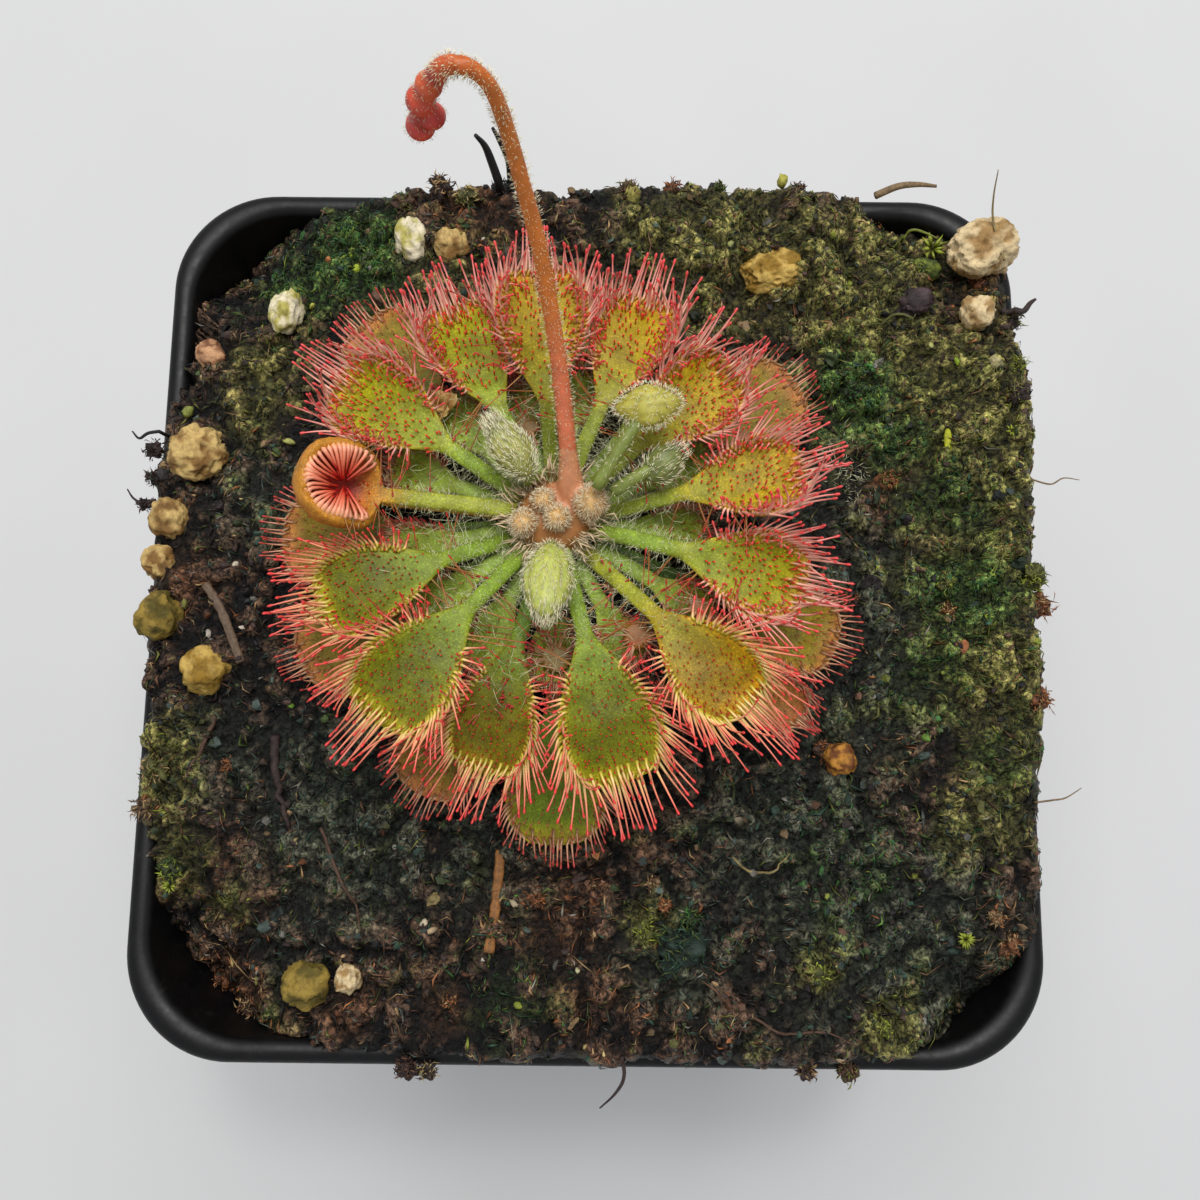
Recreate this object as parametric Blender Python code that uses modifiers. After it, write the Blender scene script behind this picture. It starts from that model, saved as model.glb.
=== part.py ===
"""Potted sundew: a square nursery pot of peat, a rosette of tentacled leaves and a nodding flower stalk.

Metres, +Z up. The origin is the middle of the pot's underside, and +Y points to the pot's far side.
Places on the plant are written in millimetres, with heights counted from the top of the pot's rim.
"""
import math
import random
from collections import namedtuple

import bmesh
import bpy
import numpy as np
from mathutils import Matrix, Vector, noise
from mathutils.bvhtree import BVHTree

MM = 0.001
GAP = 0.3 * MM
WELD = 0.01 * MM
SHARP = math.radians(45)

# Pot
RIM_WIDTH = 76 * MM
POT_HEIGHT = 70 * MM
BASE_WIDTH = 54 * MM
LIP_WIDTH = 2 * MM
BAND_HEIGHT = 8 * MM
WALL = 1.1 * MM
FLOOR = 1.6 * MM
CORNER_RADIUS = 9 * MM
DRAIN_RADIUS = 3 * MM
DRAIN_PLACE = 18 * MM
DRAIN_SIDES = 10
EDGE_ROUND = 0.8 * MM
LIP_ROUND = 0.9 * MM
POT_STEPS_PER_CORNER = 6

# Peat, with heights above the rim
Bump = namedtuple("Bump", "x y height spread")
PEAT_HALF_WIDTH = 37.7 * MM
PEAT_CELLS = 22
PEAT_LEVEL = 0.9
PEAT_LUMP_HEIGHT = 0.9
PEAT_LUMP_SIZE = 4.2
PEAT_EDGE = 35.8
PEAT_EDGE_DROP = 0.75
PRESS_REACH = 1.8
PRESS_DEPTH = 0.7
PRESS_SAMPLES = 8
PEAT_BUMPS = [
    Bump(-2.6, 5.1, 5.0, 13.0),
    Bump(35.0, 12.0, 4.6, 6.5),
    Bump(35.0, -6.0, 4.2, 7.0),
    Bump(31.0, -17.0, 2.0, 6.0),
    Bump(-34.0, 7.0, 2.0, 6.5),
    Bump(-34.0, -8.0, 2.2, 7.0),
    Bump(-12.0, 33.0, 2.6, 6.0),
    Bump(3.0, 34.0, 3.6, 6.0),
    Bump(19.0, 33.0, 3.4, 6.5),
    Bump(36.0, 21.0, 2.4, 3.5),
    Bump(34.0, -27.0, 2.5, 4.0),
    Bump(-5.0, -34.0, 1.7, 7.0),
    Bump(14.0, -34.0, 1.8, 8.0),
    Bump(7.2, -28.2, 1.9, 2.6),
    Bump(19.4, -29.3, 1.2, 2.4),
    Bump(-36.0, -36.0, -12.0, 6.5),
    Bump(38.0, -37.0, -12.0, 5.5),
    Bump(-37.0, 37.0, -11.0, 6.0),
    Bump(29.0, 37.5, -5.0, 3.6),
]

# Crown, the short stem from which all the leaves grow: radius and height above the rim, top to bottom
CROWN = Vector((-2.63, 5.14))
CROWN_PROFILE = [
    (0.0, 12.9), (1.6, 12.8), (2.8, 12.3), (3.4, 11.2), (3.4, 8.4),
    (3.0, 6.6), (2.4, 3.0), (1.8, -3.0), (0.8, -7.0), (0.0, -7.0),
]
CROWN_SIDES = 12
ROOT_HOLE_RADIUS = 3.5
ROOT_HOLE_DEPTH = 30.0

# Coiled buds on the crown: place, height and radius
CROWN_BUDS = [
    (0.2, 5.9, 13.0, 1.5), (-4.9, 4.3, 12.9, 1.15), (-2.3, 4.6, 13.4, 1.05), (-3.4, 6.0, 13.3, 0.95),
]

# Leaves: azimuth in degrees, height at the crown, radius and height of the tip, width, pitch at both
# ends, arc of the cross section in radians, twist about the midrib in degrees, numbers of marginal
# tentacles and of glands on the face, the tentacles' length and how far they rise from the blade
Leaf = namedtuple("Leaf", """
    name azimuth low reach high width rise fall arc twist tentacles glands spread lift
""")
UPPER_START = 3.85
LOWER_START = 3.6
UPPER_LEAVES = [
    Leaf("leaf_north", 94.0, 9.4, 19.0, 14.2, 7.5, 30, -14, 0.35, 6, 13, 4, 3.5, 46),
    Leaf("leaf_north_north_east", 67.0, 12.0, 18.9, 12.2, 6.9, 18, -12, 0.30, -6, 13, 4, 3.5, 46),
    Leaf("leaf_north_east", 39.7, 10.8, 17.9, 13.2, 6.9, 26, -12, 0.35, 8, 13, 4, 3.5, 46),
    Leaf("leaf_east_north_east", 9.0, 9.4, 19.2, 14.2, 6.6, 30, -14, 0.40, -5, 13, 4, 3.5, 46),
    Leaf("leaf_east", -16.2, 10.8, 20.0, 12.2, 7.0, 24, -10, 0.35, 6, 13, 4, 3.8, 35),
    Leaf("leaf_south_east", -45.0, 9.4, 20.8, 13.6, 7.0, 30, -12, 0.45, 5, 13, 4, 4.8, 20),
    Leaf("leaf_south", -75.0, 12.0, 21.0, 12.2, 8.1, 20, -16, 0.35, -6, 14, 4, 4.2, 30),
    Leaf("leaf_south_south_west", -105.5, 9.3, 20.3, 9.0, 7.3, 16, -16, 0.30, 6, 12, 4, 4.0, 28),
    Leaf("leaf_south_west", -129.2, 10.8, 20.5, 13.7, 7.7, 26, -12, 0.35, -8, 13, 4, 4.2, 30),
    Leaf("leaf_west_south_west", -157.2, 9.3, 19.2, 12.2, 7.2, 28, -14, 0.35, 6, 13, 4, 3.8, 40),
    Leaf("leaf_west", 174.0, 12.0, 19.6, 15.4, 8.2, 14, 62, 1.30, 0, 13, 4, 2.6, 0),
    Leaf("leaf_north_west", 147.8, 10.8, 20.0, 12.2, 7.4, 24, -12, 0.35, -6, 13, 4, 3.5, 46),
    Leaf("leaf_north_north_west", 117.2, 12.0, 19.4, 10.8, 7.2, 8, -14, 0.35, 6, 13, 4, 3.5, 46),
]
LOWER_LEAVES = [
    Leaf("lower_leaf_north_east", 33.7, 7.6, 24.0, 5.2, 7.6, 4, -6, 0.25, 0, 8, 0, 2.6, 22),
    Leaf("lower_leaf_east", -21.6, 7.6, 24.7, 4.8, 6.9, 2, -6, 0.25, 0, 8, 0, 2.6, 22),
    Leaf("lower_leaf_south_east", -37.2, 6.3, 24.8, 6.2, 4.4, 8, -10, 0.60, 10, 5, 0, 2.6, 22),
    Leaf("lower_leaf_south", -89.3, 7.6, 25.2, 4.8, 8.0, 2, -8, 0.30, 0, 8, 0, 2.6, 22),
    Leaf("lower_leaf_south_south_west", -116.5, 7.6, 23.8, 4.8, 7.2, 2, -8, 0.25, 0, 8, 0, 2.6, 22),
    Leaf("lower_leaf_west", -178.0, 7.6, 22.6, 5.4, 7.4, 4, -8, 0.25, 0, 8, 0, 2.6, 22),
    Leaf("lower_leaf_west_south_west", -152.0, 7.6, 23.4, 4.8, 7.3, 2, -8, 0.25, 0, 8, 0, 2.6, 22),
    Leaf("lower_leaf_north_west", 132.7, 7.6, 24.8, 5.2, 7.6, 4, -8, 0.25, 0, 8, 0, 2.6, 22),
    Leaf("lower_leaf_north", 80.0, 7.6, 21.6, 5.4, 7.2, 4, -8, 0.25, 0, 8, 0, 2.6, 22),
]
MIDRIB_PULL = 0.36
MIDRIB_POINTS = 61
BLADE_THICKNESS = 0.7
STALK_HALF_WIDTH = 0.8
BLADE_LENGTH_RATIO = 1.42
WIDEST_SHARE = 0.6
WEDGE = 0.45
CUP_START = 0.05
FLAT_ARC = 0.02
TIP_ROW_WIDTH = 0.42
LEAF_ROWS = 8
LEAF_COLUMNS = 4
ROWS_ON_STALK = 0.3

# Tentacles along the margin of a blade, and short glands on its face
TENTACLE_RADIUS = 0.16
TENTACLE_HEAD = 0.32
GLAND_LENGTH = 1.5
ROOT_DEPTH = 0.8
TENTACLE_SIDES = 3
TENTACLE_CURL = 18
ELBOW = 0.55
MARGIN_START = 0.22
MARGIN_SIDE = 0.44
GLAND_RING = 0.24
CURLED_ARC = 1.0
CURLED_LEAN = 0.2
CLEARANCE = 0.35
LENGTH_SPREAD = 0.12
LIFT_SPREAD = 8

# Changes of a tentacle's rise in degrees, and shares of its length, tried until it is clear
BENDS = [(0, 1), (14, 1), (-14, 1), (28, 0.9), (-28, 0.8), (42, 0.8), (10, 0.6), (34, 0.5)]

# Young leaves: middle, height, long axis azimuth and pitch in degrees, length, width, thickness
Bud = namedtuple("Bud", "name x y height azimuth pitch length width thickness stalk hairs")
YOUNG_LEAVES = [
    Bud("young_leaf_south", -2.8, -0.5, 15.4, -92, 24, 6.4, 3.5, 2.4, (-2.7, 2.5, 13.0), 10),
    Bud("young_leaf_north_west", -5.7, 9.3, 15.6, 128, 26, 5.6, 3.3, 2.4, (-4.5, 7.5, 12.9), 9),
    Bud("young_leaf_north_east", 4.4, 12.2, 17.2, 4, 8, 5.4, 3.6, 2.3, (0.6, 6.5, 15.2), 7),
    Bud("young_leaf_east", 5.6, 8.5, 14.9, 40, 6, 4.0, 3.0, 2.0, (1.95, 6.5, 14.2), 5),
]
YOUNG_STALK_RADII = (0.45, 0.5, 0.5)
YOUNG_STALK_ARCH = 0.35
HAIR_LENGTH = 1.5
HAIR_ROOT = 0.3
HAIR_RADII = (0.18, 0.13)

# Flower stalk: its route, with heights above the rim, and its radius at both ends
STALK_ROUTE = [
    (-1.35, 7.5, 12.95), (-1.9, 13.1, 18.0), (-2.5, 16.7, 22.0), (-3.2, 19.8, 26.5), (-4.0, 21.8, 30.5),
    (-4.8, 23.5, 34.5), (-5.5, 24.3, 37.5), (-6.6, 24.6, 39.0), (-7.8, 24.7, 39.1), (-8.6, 24.8, 38.2),
]
STALK_RADII = (0.72, 0.46)
STALK_POINTS = 18

# Flower buds at the nodding tip: place, height and radius
FLOWER_BUDS = [
    (-9.2, 24.85, 37.0, 0.85), (-9.9, 24.8, 35.5, 0.95), (-9.4, 24.6, 34.2, 0.85), (-10.3, 24.7, 33.0, 0.95),
]

# Loose grains: place, height of the middle above the rim, size across, up and away
Grain = namedtuple("Grain", "name x y height width depth tall turn")
GRAINS = [
    Grain("perlite_01", -33.4, 12.1, 3.6, 4.9, 4.7, 4.2, 10),
    Grain("perlite_02", -35.4, 6.6, 3.5, 3.4, 3.6, 3.0, 40),
    Grain("perlite_03", -36.2, 2.9, 3.0, 2.8, 2.8, 2.4, 0),
    Grain("perlite_04", -35.7, -1.8, 3.5, 4.1, 3.8, 3.4, 70),
    Grain("perlite_05", -31.5, -6.2, 3.6, 4.0, 4.0, 3.6, 20),
    Grain("perlite_06", -15.9, 31.7, 3.6, 2.8, 3.9, 3.0, 15),
    Grain("perlite_07", -12.3, 31.3, 3.8, 3.1, 3.1, 2.8, 30),
    Grain("perlite_08", -26.9, 25.7, 2.2, 2.8, 3.9, 2.8, -10),
    Grain("perlite_09", 15.6, 28.9, 3.9, 5.2, 3.8, 3.4, 5),
    Grain("perlite_10", 34.3, 31.6, 3.1, 6.4, 5.2, 4.6, 12),
    Grain("perlite_11", 33.4, 25.6, 3.6, 3.1, 3.0, 2.8, 50),
    Grain("perlite_12", 20.9, -13.0, 2.6, 2.7, 2.7, 2.4, 0),
    Grain("perlite_13", -22.6, -31.5, 0.9, 3.9, 3.9, 3.2, 35),
    Grain("perlite_14", -19.2, -31.0, 1.0, 2.2, 2.4, 2.2, 0),
    Grain("perlite_15", -33.8, 22.0, 0.9, 2.7, 2.7, 2.4, 60),
    Grain("green_pebble", 29.5, 30.4, 1.3, 3.1, 2.2, 2.0, 0),
    Grain("bark_chip", 28.5, 27.1, 2.3, 3.1, 2.6, 1.8, 25),
]
GRAIN_ROUGHNESS = 0.16
GRAIN_LUMPS = 1.6
POCKET_GAP = 0.42

# Twigs on the peat: route, height of its middle line above the peat, and radius
Twig = namedtuple("Twig", "name route lift radius")
TWIG_POINTS = 7
TWIG_GAP = 0.4
TWIGS = [
    Twig("twig_front", [(-6.9, -20.6), (-7.2, -24.6), (-7.6, -28.6)], 0.35, 0.5),
    Twig("twig_left", [(-31.9, 0.9), (-30.4, -1.4), (-28.6, -5.6)], 0.45, 0.45),
]

# Colours, roughness
COLOURS = {
    "pot": ((0.012, 0.012, 0.013), 0.45),
    "peat": ((0.035, 0.022, 0.015), 0.9),
    "crown": ((0.33, 0.13, 0.04), 0.5),
    "leaf": ((0.33, 0.36, 0.06), 0.45),
    "lower_leaf": ((0.22, 0.12, 0.04), 0.55),
    "young_leaf": ((0.42, 0.42, 0.14), 0.5),
    "stalk": ((0.72, 0.24, 0.10), 0.45),
    "flower_bud": ((0.55, 0.06, 0.03), 0.45),
    "perlite": ((0.78, 0.74, 0.64), 0.85),
    "pebble": ((0.12, 0.20, 0.05), 0.8),
    "bark": ((0.09, 0.04, 0.03), 0.9),
    "twig": ((0.32, 0.14, 0.06), 0.85),
}


# Scene and materials
def clear_scene():
    """Remove whatever the file holds."""
    for item in list(bpy.data.objects):
        bpy.data.objects.remove(item, do_unlink=True)


def material(name):
    """Plain Principled material for one kind of piece."""
    found = bpy.data.materials.get(name)
    if found:
        return found
    colour, roughness = COLOURS[name]
    made = bpy.data.materials.new(name)
    made.use_nodes = True
    shader = made.node_tree.nodes["Principled BSDF"]
    shader.inputs["Base Color"].default_value = (*colour, 1.0)
    shader.inputs["Roughness"].default_value = roughness
    made.diffuse_color = (*colour, 1.0)
    return made


def new_collection(name):
    """A collection of the scene."""
    made = bpy.data.collections.new(name)
    bpy.context.scene.collection.children.link(made)
    return made


def above_rim(x, y, height):
    """Place in metres of a point given in millimetres, with its height counted from the rim's top."""
    return Vector((x * MM, y * MM, POT_HEIGHT + height * MM))


# Meshes
def add_object(name, mesh, collection, look=None):
    """Object with the given mesh, smooth except at sharp edges."""
    made = bpy.data.objects.new(name, mesh)
    collection.objects.link(made)
    if look:
        mesh.materials.clear()
        mesh.materials.append(material(look))
    mesh.shade_smooth()
    mesh.set_sharp_from_angle(angle=SHARP)
    return made


def mesh_from(shape, name):
    """Mesh of a finished bmesh, with its faces pointing out."""
    bmesh.ops.recalc_face_normals(shape, faces=shape.faces[:])
    mesh = bpy.data.meshes.new(name)
    shape.to_mesh(mesh)
    shape.free()
    return mesh


def apply_modifiers(item):
    """Put what an object's modifiers make into its own mesh."""
    scene_state = bpy.context.evaluated_depsgraph_get()
    mesh = bpy.data.meshes.new_from_object(item.evaluated_get(scene_state))
    old = item.data
    item.modifiers.clear()
    item.data = mesh
    bpy.data.meshes.remove(old)


def combine(item, others, operation, solver="EXACT"):
    """Join the others to an object, or cut them from it, and remove them."""
    if not others:
        return
    group = new_collection("combining")
    for other in others:
        for holder in list(other.users_collection):
            holder.objects.unlink(other)
        group.objects.link(other)
    modifier = item.modifiers.new(operation.lower(), "BOOLEAN")
    modifier.operation = operation
    modifier.operand_type = "COLLECTION"
    modifier.collection = group
    modifier.solver = solver
    apply_modifiers(item)
    for other in others:
        mesh = other.data
        bpy.data.objects.remove(other)
        bpy.data.meshes.remove(mesh)
    bpy.data.collections.remove(group)


def loft(name, rings):
    """Closed skin through rings with equal numbers of points, flat at both ends."""
    shape = bmesh.new()
    loops = [[shape.verts.new(point) for point in ring] for ring in rings]
    count = len(rings[0])
    for first, second in zip(loops, loops[1:]):
        for index in range(count):
            after = (index + 1) % count
            shape.faces.new((first[index], first[after], second[after], second[index]))
    shape.faces.new(loops[0][::-1])
    shape.faces.new(loops[-1])
    return mesh_from(shape, name)


def tube(name, points, radii, collection, look=None):
    """Closed round tube along points, made a mesh with welded ends."""
    curve = bpy.data.curves.new(name, "CURVE")
    curve.dimensions = "3D"
    curve.bevel_depth = 1.0
    curve.bevel_resolution = 2
    curve.use_fill_caps = True
    line = curve.splines.new("POLY")
    line.points.add(len(points) - 1)
    for point, place, radius in zip(line.points, points, radii):
        point.co = (*place, 1.0)
        point.radius = radius
    guide = bpy.data.objects.new(name + "_line", curve)
    collection.objects.link(guide)
    scene_state = bpy.context.evaluated_depsgraph_get()
    mesh = bpy.data.meshes.new_from_object(guide.evaluated_get(scene_state))
    bpy.data.objects.remove(guide)
    bpy.data.curves.remove(curve)
    shape = bmesh.new()
    shape.from_mesh(mesh)
    bmesh.ops.remove_doubles(shape, verts=shape.verts[:], dist=WELD)
    bpy.data.meshes.remove(mesh)
    return add_object(name, mesh_from(shape, name), collection, look)


def smooth_route(points, count):
    """Evenly numbered points on a smooth curve through the given ones."""
    ends = [points[0] * 2 - points[1], *points, points[-1] * 2 - points[-2]]
    made = []
    for step in range(count):
        along = step / (count - 1) * (len(points) - 1)
        index = min(int(along), len(points) - 2)
        t = along - index
        a, b, c, d = ends[index:index + 4]
        made.append(0.5 * (2 * b + (c - a) * t + (2 * a - 5 * b + 4 * c - d) * t ** 2
                           + (3 * b - a - 3 * c + d) * t ** 3))
    return made


def tree_of(item):
    """Search tree of an object's surface."""
    mesh = item.data
    places = [item.matrix_world @ vertex.co for vertex in mesh.vertices]
    return BVHTree.FromPolygons(places, [tuple(face.vertices) for face in mesh.polygons])


def ease(value):
    """Smooth step from 0 to 1."""
    value = min(max(value, 0.0), 1.0)
    return value * value * (3 - 2 * value)


# Pot
def rounded_square(half, corner, z):
    """Points of a square with round corners, anticlockwise from above."""
    points = []
    for quarter in range(4):
        middle = math.radians(45 + 90 * quarter)
        x = math.copysign(half - corner, math.cos(middle))
        y = math.copysign(half - corner, math.sin(middle))
        for step in range(POT_STEPS_PER_CORNER + 1):
            angle = math.radians(90 * quarter + 90 * step / POT_STEPS_PER_CORNER)
            points.append(Vector((x + corner * math.cos(angle), y + corner * math.sin(angle), z)))
    return points


def inner_levels(inset):
    """Half width and height of the pot's inside at each level, top to bottom, moved in by an inset."""
    rim = RIM_WIDTH / 2
    band = POT_HEIGHT - BAND_HEIGHT
    base = BASE_WIDTH / 2
    return [
        (rim - LIP_WIDTH - inset, POT_HEIGHT - LIP_ROUND),
        (rim - LIP_WIDTH - LIP_ROUND - inset, band),
        (base - WALL - inset, FLOOR + inset),
    ]


def make_pot(collection):
    """Tapering pot with a band and a rolled lip, round corners and four drain holes."""
    rim = RIM_WIDTH / 2
    base = BASE_WIDTH / 2
    band = POT_HEIGHT - BAND_HEIGHT
    levels = [
        (base - EDGE_ROUND, 0.0), (base, EDGE_ROUND), (rim - LIP_WIDTH, band - WALL), (rim - LIP_ROUND, band),
        (rim, POT_HEIGHT - LIP_ROUND), (rim - LIP_ROUND / 2, POT_HEIGHT - LIP_ROUND / 6),
        (rim - LIP_WIDTH / 2, POT_HEIGHT), (rim - LIP_WIDTH * 0.75, POT_HEIGHT - LIP_ROUND / 6),
        *inner_levels(0.0),
    ]
    rings = [rounded_square(half, CORNER_RADIUS * half / rim, z) for half, z in levels]
    pot = add_object("pot", loft("pot", rings), collection, "pot")
    holes = []
    for x, y in ((1, 1), (1, -1), (-1, 1), (-1, -1)):
        shape = bmesh.new()
        bmesh.ops.create_cone(shape, cap_ends=True, segments=DRAIN_SIDES, radius1=DRAIN_RADIUS,
                              radius2=DRAIN_RADIUS, depth=4 * FLOOR,
                              matrix=Matrix.Translation((x * DRAIN_PLACE, y * DRAIN_PLACE, 0)))
        holes.append(add_object("drain", mesh_from(shape, "drain"), collection))
    combine(pot, holes, "DIFFERENCE")
    return pot


def outside_of_peat(collection):
    """Cutter that fills all that lies outside the pot's hollow, up to just above the lip."""
    out = RIM_WIDTH
    over = POT_HEIGHT + GAP
    rim = RIM_WIDTH / 2
    levels = [(out, -FLOOR), (out, over), (rim - LIP_WIDTH, over), *inner_levels(GAP)]
    rings = [rounded_square(half, CORNER_RADIUS * min(half, rim) / rim, z) for half, z in levels]
    return add_object("outside", loft("outside", rings), collection)


# Peat
def peat_height(x, y):
    """Height of the peat's top above the rim, in millimetres, before anything presses on it."""
    height = PEAT_LEVEL
    for bump in PEAT_BUMPS:
        square = (x - bump.x) ** 2 + (y - bump.y) ** 2
        height += bump.height * math.exp(-square / (2 * bump.spread ** 2))
    height += PEAT_LUMP_HEIGHT * noise.noise(Vector((x, y, 0)) / PEAT_LUMP_SIZE)
    over = max(0.0, max(abs(x), abs(y)) - PEAT_EDGE)
    return height - PEAT_EDGE_DROP * over ** 2


def pressed_height(x, y, leaves):
    """Height of the peat's top where leaves lie on it."""
    height = peat_height(x, y)
    angles = [2 * math.pi * index / PRESS_SAMPLES for index in range(PRESS_SAMPLES)]
    around = [(PRESS_REACH * math.cos(angle), PRESS_REACH * math.sin(angle)) for angle in angles]
    for dx, dy in [(0.0, 0.0), *around]:
        start = above_rim(x + dx, y + dy, 0)
        for leaf in leaves:
            hit = leaf.ray_cast(start, Vector((0, 0, 1)), POT_HEIGHT)[0]
            if hit:
                height = min(height, (hit.z - POT_HEIGHT) / MM - PRESS_DEPTH)
    return height


def round_square_scale(u, v):
    """How far a direction's edge of the rounded square lies, as a share of the plain square's."""
    reach = max(abs(u), abs(v))
    if reach == 0:
        return 1.0
    x, y = abs(u) / reach, abs(v) / reach
    corner = CORNER_RADIUS / (RIM_WIDTH / 2)
    if min(x, y) <= 1 - corner:
        return 1.0
    length = math.hypot(x, y)
    x, y = x / length, y / length
    along = (x + y) * (1 - corner)
    edge = along + math.sqrt(along ** 2 - 2 * (1 - corner) ** 2 + corner ** 2)
    return edge / length


def make_peat(collection, leaves, cutters):
    """Mound of peat that fills the pot, sunken at its corners, with holes for what stands in it."""
    shape = bmesh.new()
    bmesh.ops.create_grid(shape, x_segments=PEAT_CELLS, y_segments=PEAT_CELLS, size=1.0)
    for vertex in shape.verts:
        scale = round_square_scale(vertex.co.x, vertex.co.y) * PEAT_HALF_WIDTH
        vertex.co = Vector((vertex.co.x * scale, vertex.co.y * scale, FLOOR / 2))
    under = shape.faces[:]
    top = bmesh.ops.extrude_face_region(shape, geom=under)["geom"]
    for vertex in [part for part in top if isinstance(part, bmesh.types.BMVert)]:
        x, y = vertex.co.x / MM, vertex.co.y / MM
        vertex.co.z = POT_HEIGHT + pressed_height(x, y, leaves) * MM
    bmesh.ops.dissolve_faces(shape, faces=under)
    bmesh.ops.triangulate(shape, faces=[face for face in shape.faces if len(face.verts) == 4])
    peat = add_object("peat", mesh_from(shape, "peat"), collection, "peat")
    combine(peat, [outside_of_peat(collection), root_hole(collection), *cutters], "DIFFERENCE")
    return peat


def root_hole(collection):
    """Cutter for the plain hole in which the crown stands."""
    shape = bmesh.new()
    depth = ROOT_HOLE_DEPTH * MM
    place = above_rim(CROWN.x, CROWN.y, CROWN_PROFILE[-1][1] - 1)
    bmesh.ops.create_cone(shape, cap_ends=True, segments=CROWN_SIDES, radius1=ROOT_HOLE_RADIUS * MM,
                          radius2=ROOT_HOLE_RADIUS * MM, depth=depth,
                          matrix=Matrix.Translation(place + Vector((0, 0, depth / 2))))
    return add_object("root_hole", mesh_from(shape, "root_hole"), collection)


# Crown
def ball(name, place, radius, collection, look=None):
    """Round lump made of triangles."""
    shape = bmesh.new()
    bmesh.ops.create_icosphere(shape, subdivisions=2, radius=radius * MM,
                               matrix=Matrix.Translation(above_rim(*place)))
    return add_object(name, mesh_from(shape, name), collection, look)


def make_crown(collection):
    """Short turned stem with coiled leaf buds fused to its top."""
    shape = bmesh.new()
    points = [shape.verts.new((radius * MM, 0, height * MM)) for radius, height in CROWN_PROFILE]
    for first, second in zip(points, points[1:]):
        shape.edges.new((first, second))
    mesh = bpy.data.meshes.new("crown")
    shape.to_mesh(mesh)
    shape.free()
    crown = add_object("crown", mesh, collection, "crown")
    crown.location = above_rim(CROWN.x, CROWN.y, 0)
    turn = crown.modifiers.new("turn", "SCREW")
    turn.steps = CROWN_SIDES
    turn.render_steps = CROWN_SIDES
    turn.use_merge_vertices = True
    turn.merge_threshold = WELD
    bpy.context.view_layer.update()
    apply_modifiers(crown)
    buds = [ball("bud", bud[:3], bud[3], collection) for bud in CROWN_BUDS]
    combine(crown, buds, "UNION")
    return crown


# Leaves
def direction(pitch):
    """Unit step outward and up at a pitch in degrees."""
    return np.array([math.cos(math.radians(pitch)), math.sin(math.radians(pitch))])


class LeafForm:
    """The surface of one leaf: 0 at the foot of its stalk to 1 at its tip, and -1 to 1 across."""

    def __init__(self, leaf, start):
        self.leaf = leaf
        first = np.array([start, leaf.low])
        last = np.array([leaf.reach, leaf.high])
        pull = MIDRIB_PULL * np.linalg.norm(last - first)
        second = first + pull * direction(leaf.rise)
        third = last - pull * direction(leaf.fall)
        t = np.linspace(0, 1, MIDRIB_POINTS)[:, None]
        line = (1 - t) ** 3 * first + 3 * (1 - t) ** 2 * t * second
        line += 3 * (1 - t) * t ** 2 * third + t ** 3 * last
        steps = np.concatenate([[0], np.cumsum(np.linalg.norm(np.diff(line, axis=0), axis=1))])
        self.line = line
        self.length = steps[-1]
        self.shares = steps / steps[-1]
        self.blade = 1 - BLADE_LENGTH_RATIO * leaf.width / self.length
        self.widest = self.blade + WIDEST_SHARE * (1 - self.blade)
        self.tip_row = self.widest + (1 - self.widest) * math.sqrt(1 - TIP_ROW_WIDTH ** 2)
        azimuth = math.radians(leaf.azimuth)
        self.outward = Vector((math.cos(azimuth), math.sin(azimuth), 0))
        self.sideways = Vector((-math.sin(azimuth), math.cos(azimuth), 0))

    def middle(self, s):
        """Distance outward and height of the midrib, in millimetres."""
        out, height = self.line.T
        return Vector((np.interp(s, self.shares, out), np.interp(s, self.shares, height)))

    def half_width(self, s):
        """Half the leaf's width, in millimetres."""
        half = self.leaf.width / 2
        if s < self.widest:
            share = min(max((s - self.blade) / (self.widest - self.blade), 0.0), 1.0)
            growth = WEDGE * math.sin(share * math.pi / 2) + (1 - WEDGE) * ease(share)
            return STALK_HALF_WIDTH + (half - STALK_HALF_WIDTH) * growth
        return half * math.sqrt(max(0.0, 1 - ((s - self.widest) / (1 - self.widest)) ** 2))

    def frame(self, s):
        """Place, direction along the leaf, direction across it and upward normal."""
        here = self.middle(s)
        step = 1 / MIDRIB_POINTS
        ahead = (self.middle(min(s + step, 1)) - self.middle(max(s - step, 0))).normalized()
        place = above_rim(CROWN.x, CROWN.y, here.y) + self.outward * here.x * MM
        along = self.outward * ahead.x + Vector((0, 0, ahead.y))
        turn = Matrix.Rotation(math.radians(self.leaf.twist) * ease(s / self.widest), 3, along)
        across = turn @ self.sideways
        return place, along, across, along.cross(across)

    def point(self, s, v):
        """Place on the leaf's upper face."""
        towards_tip = max(0.0, (s - self.widest) / (self.tip_row - self.widest))
        ahead = (1 - self.tip_row) * (1 - v * v) * towards_tip ** 2
        place, along, across, normal = self.frame(s + ahead)
        half = self.half_width(s) * MM
        arc = max(FLAT_ARC, self.leaf.arc * ease((s - self.blade + CUP_START) / (self.widest - self.blade)))
        return (place + across * half * math.sin(arc * v) / arc
                + normal * half * (1 - math.cos(arc * v)) / arc)

    def margin(self, share):
        """Leaf coordinates of a point on the blade's edge, from one side round the tip to the other."""
        low = self.blade + MARGIN_START * (1 - self.blade)
        side = MARGIN_SIDE
        if share < side:
            return low + (self.tip_row - low) * share / side, -1.0
        if share > 1 - side:
            return low + (self.tip_row - low) * (1 - share) / side, 1.0
        return self.tip_row, (share - 0.5) / (0.5 - side)


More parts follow.
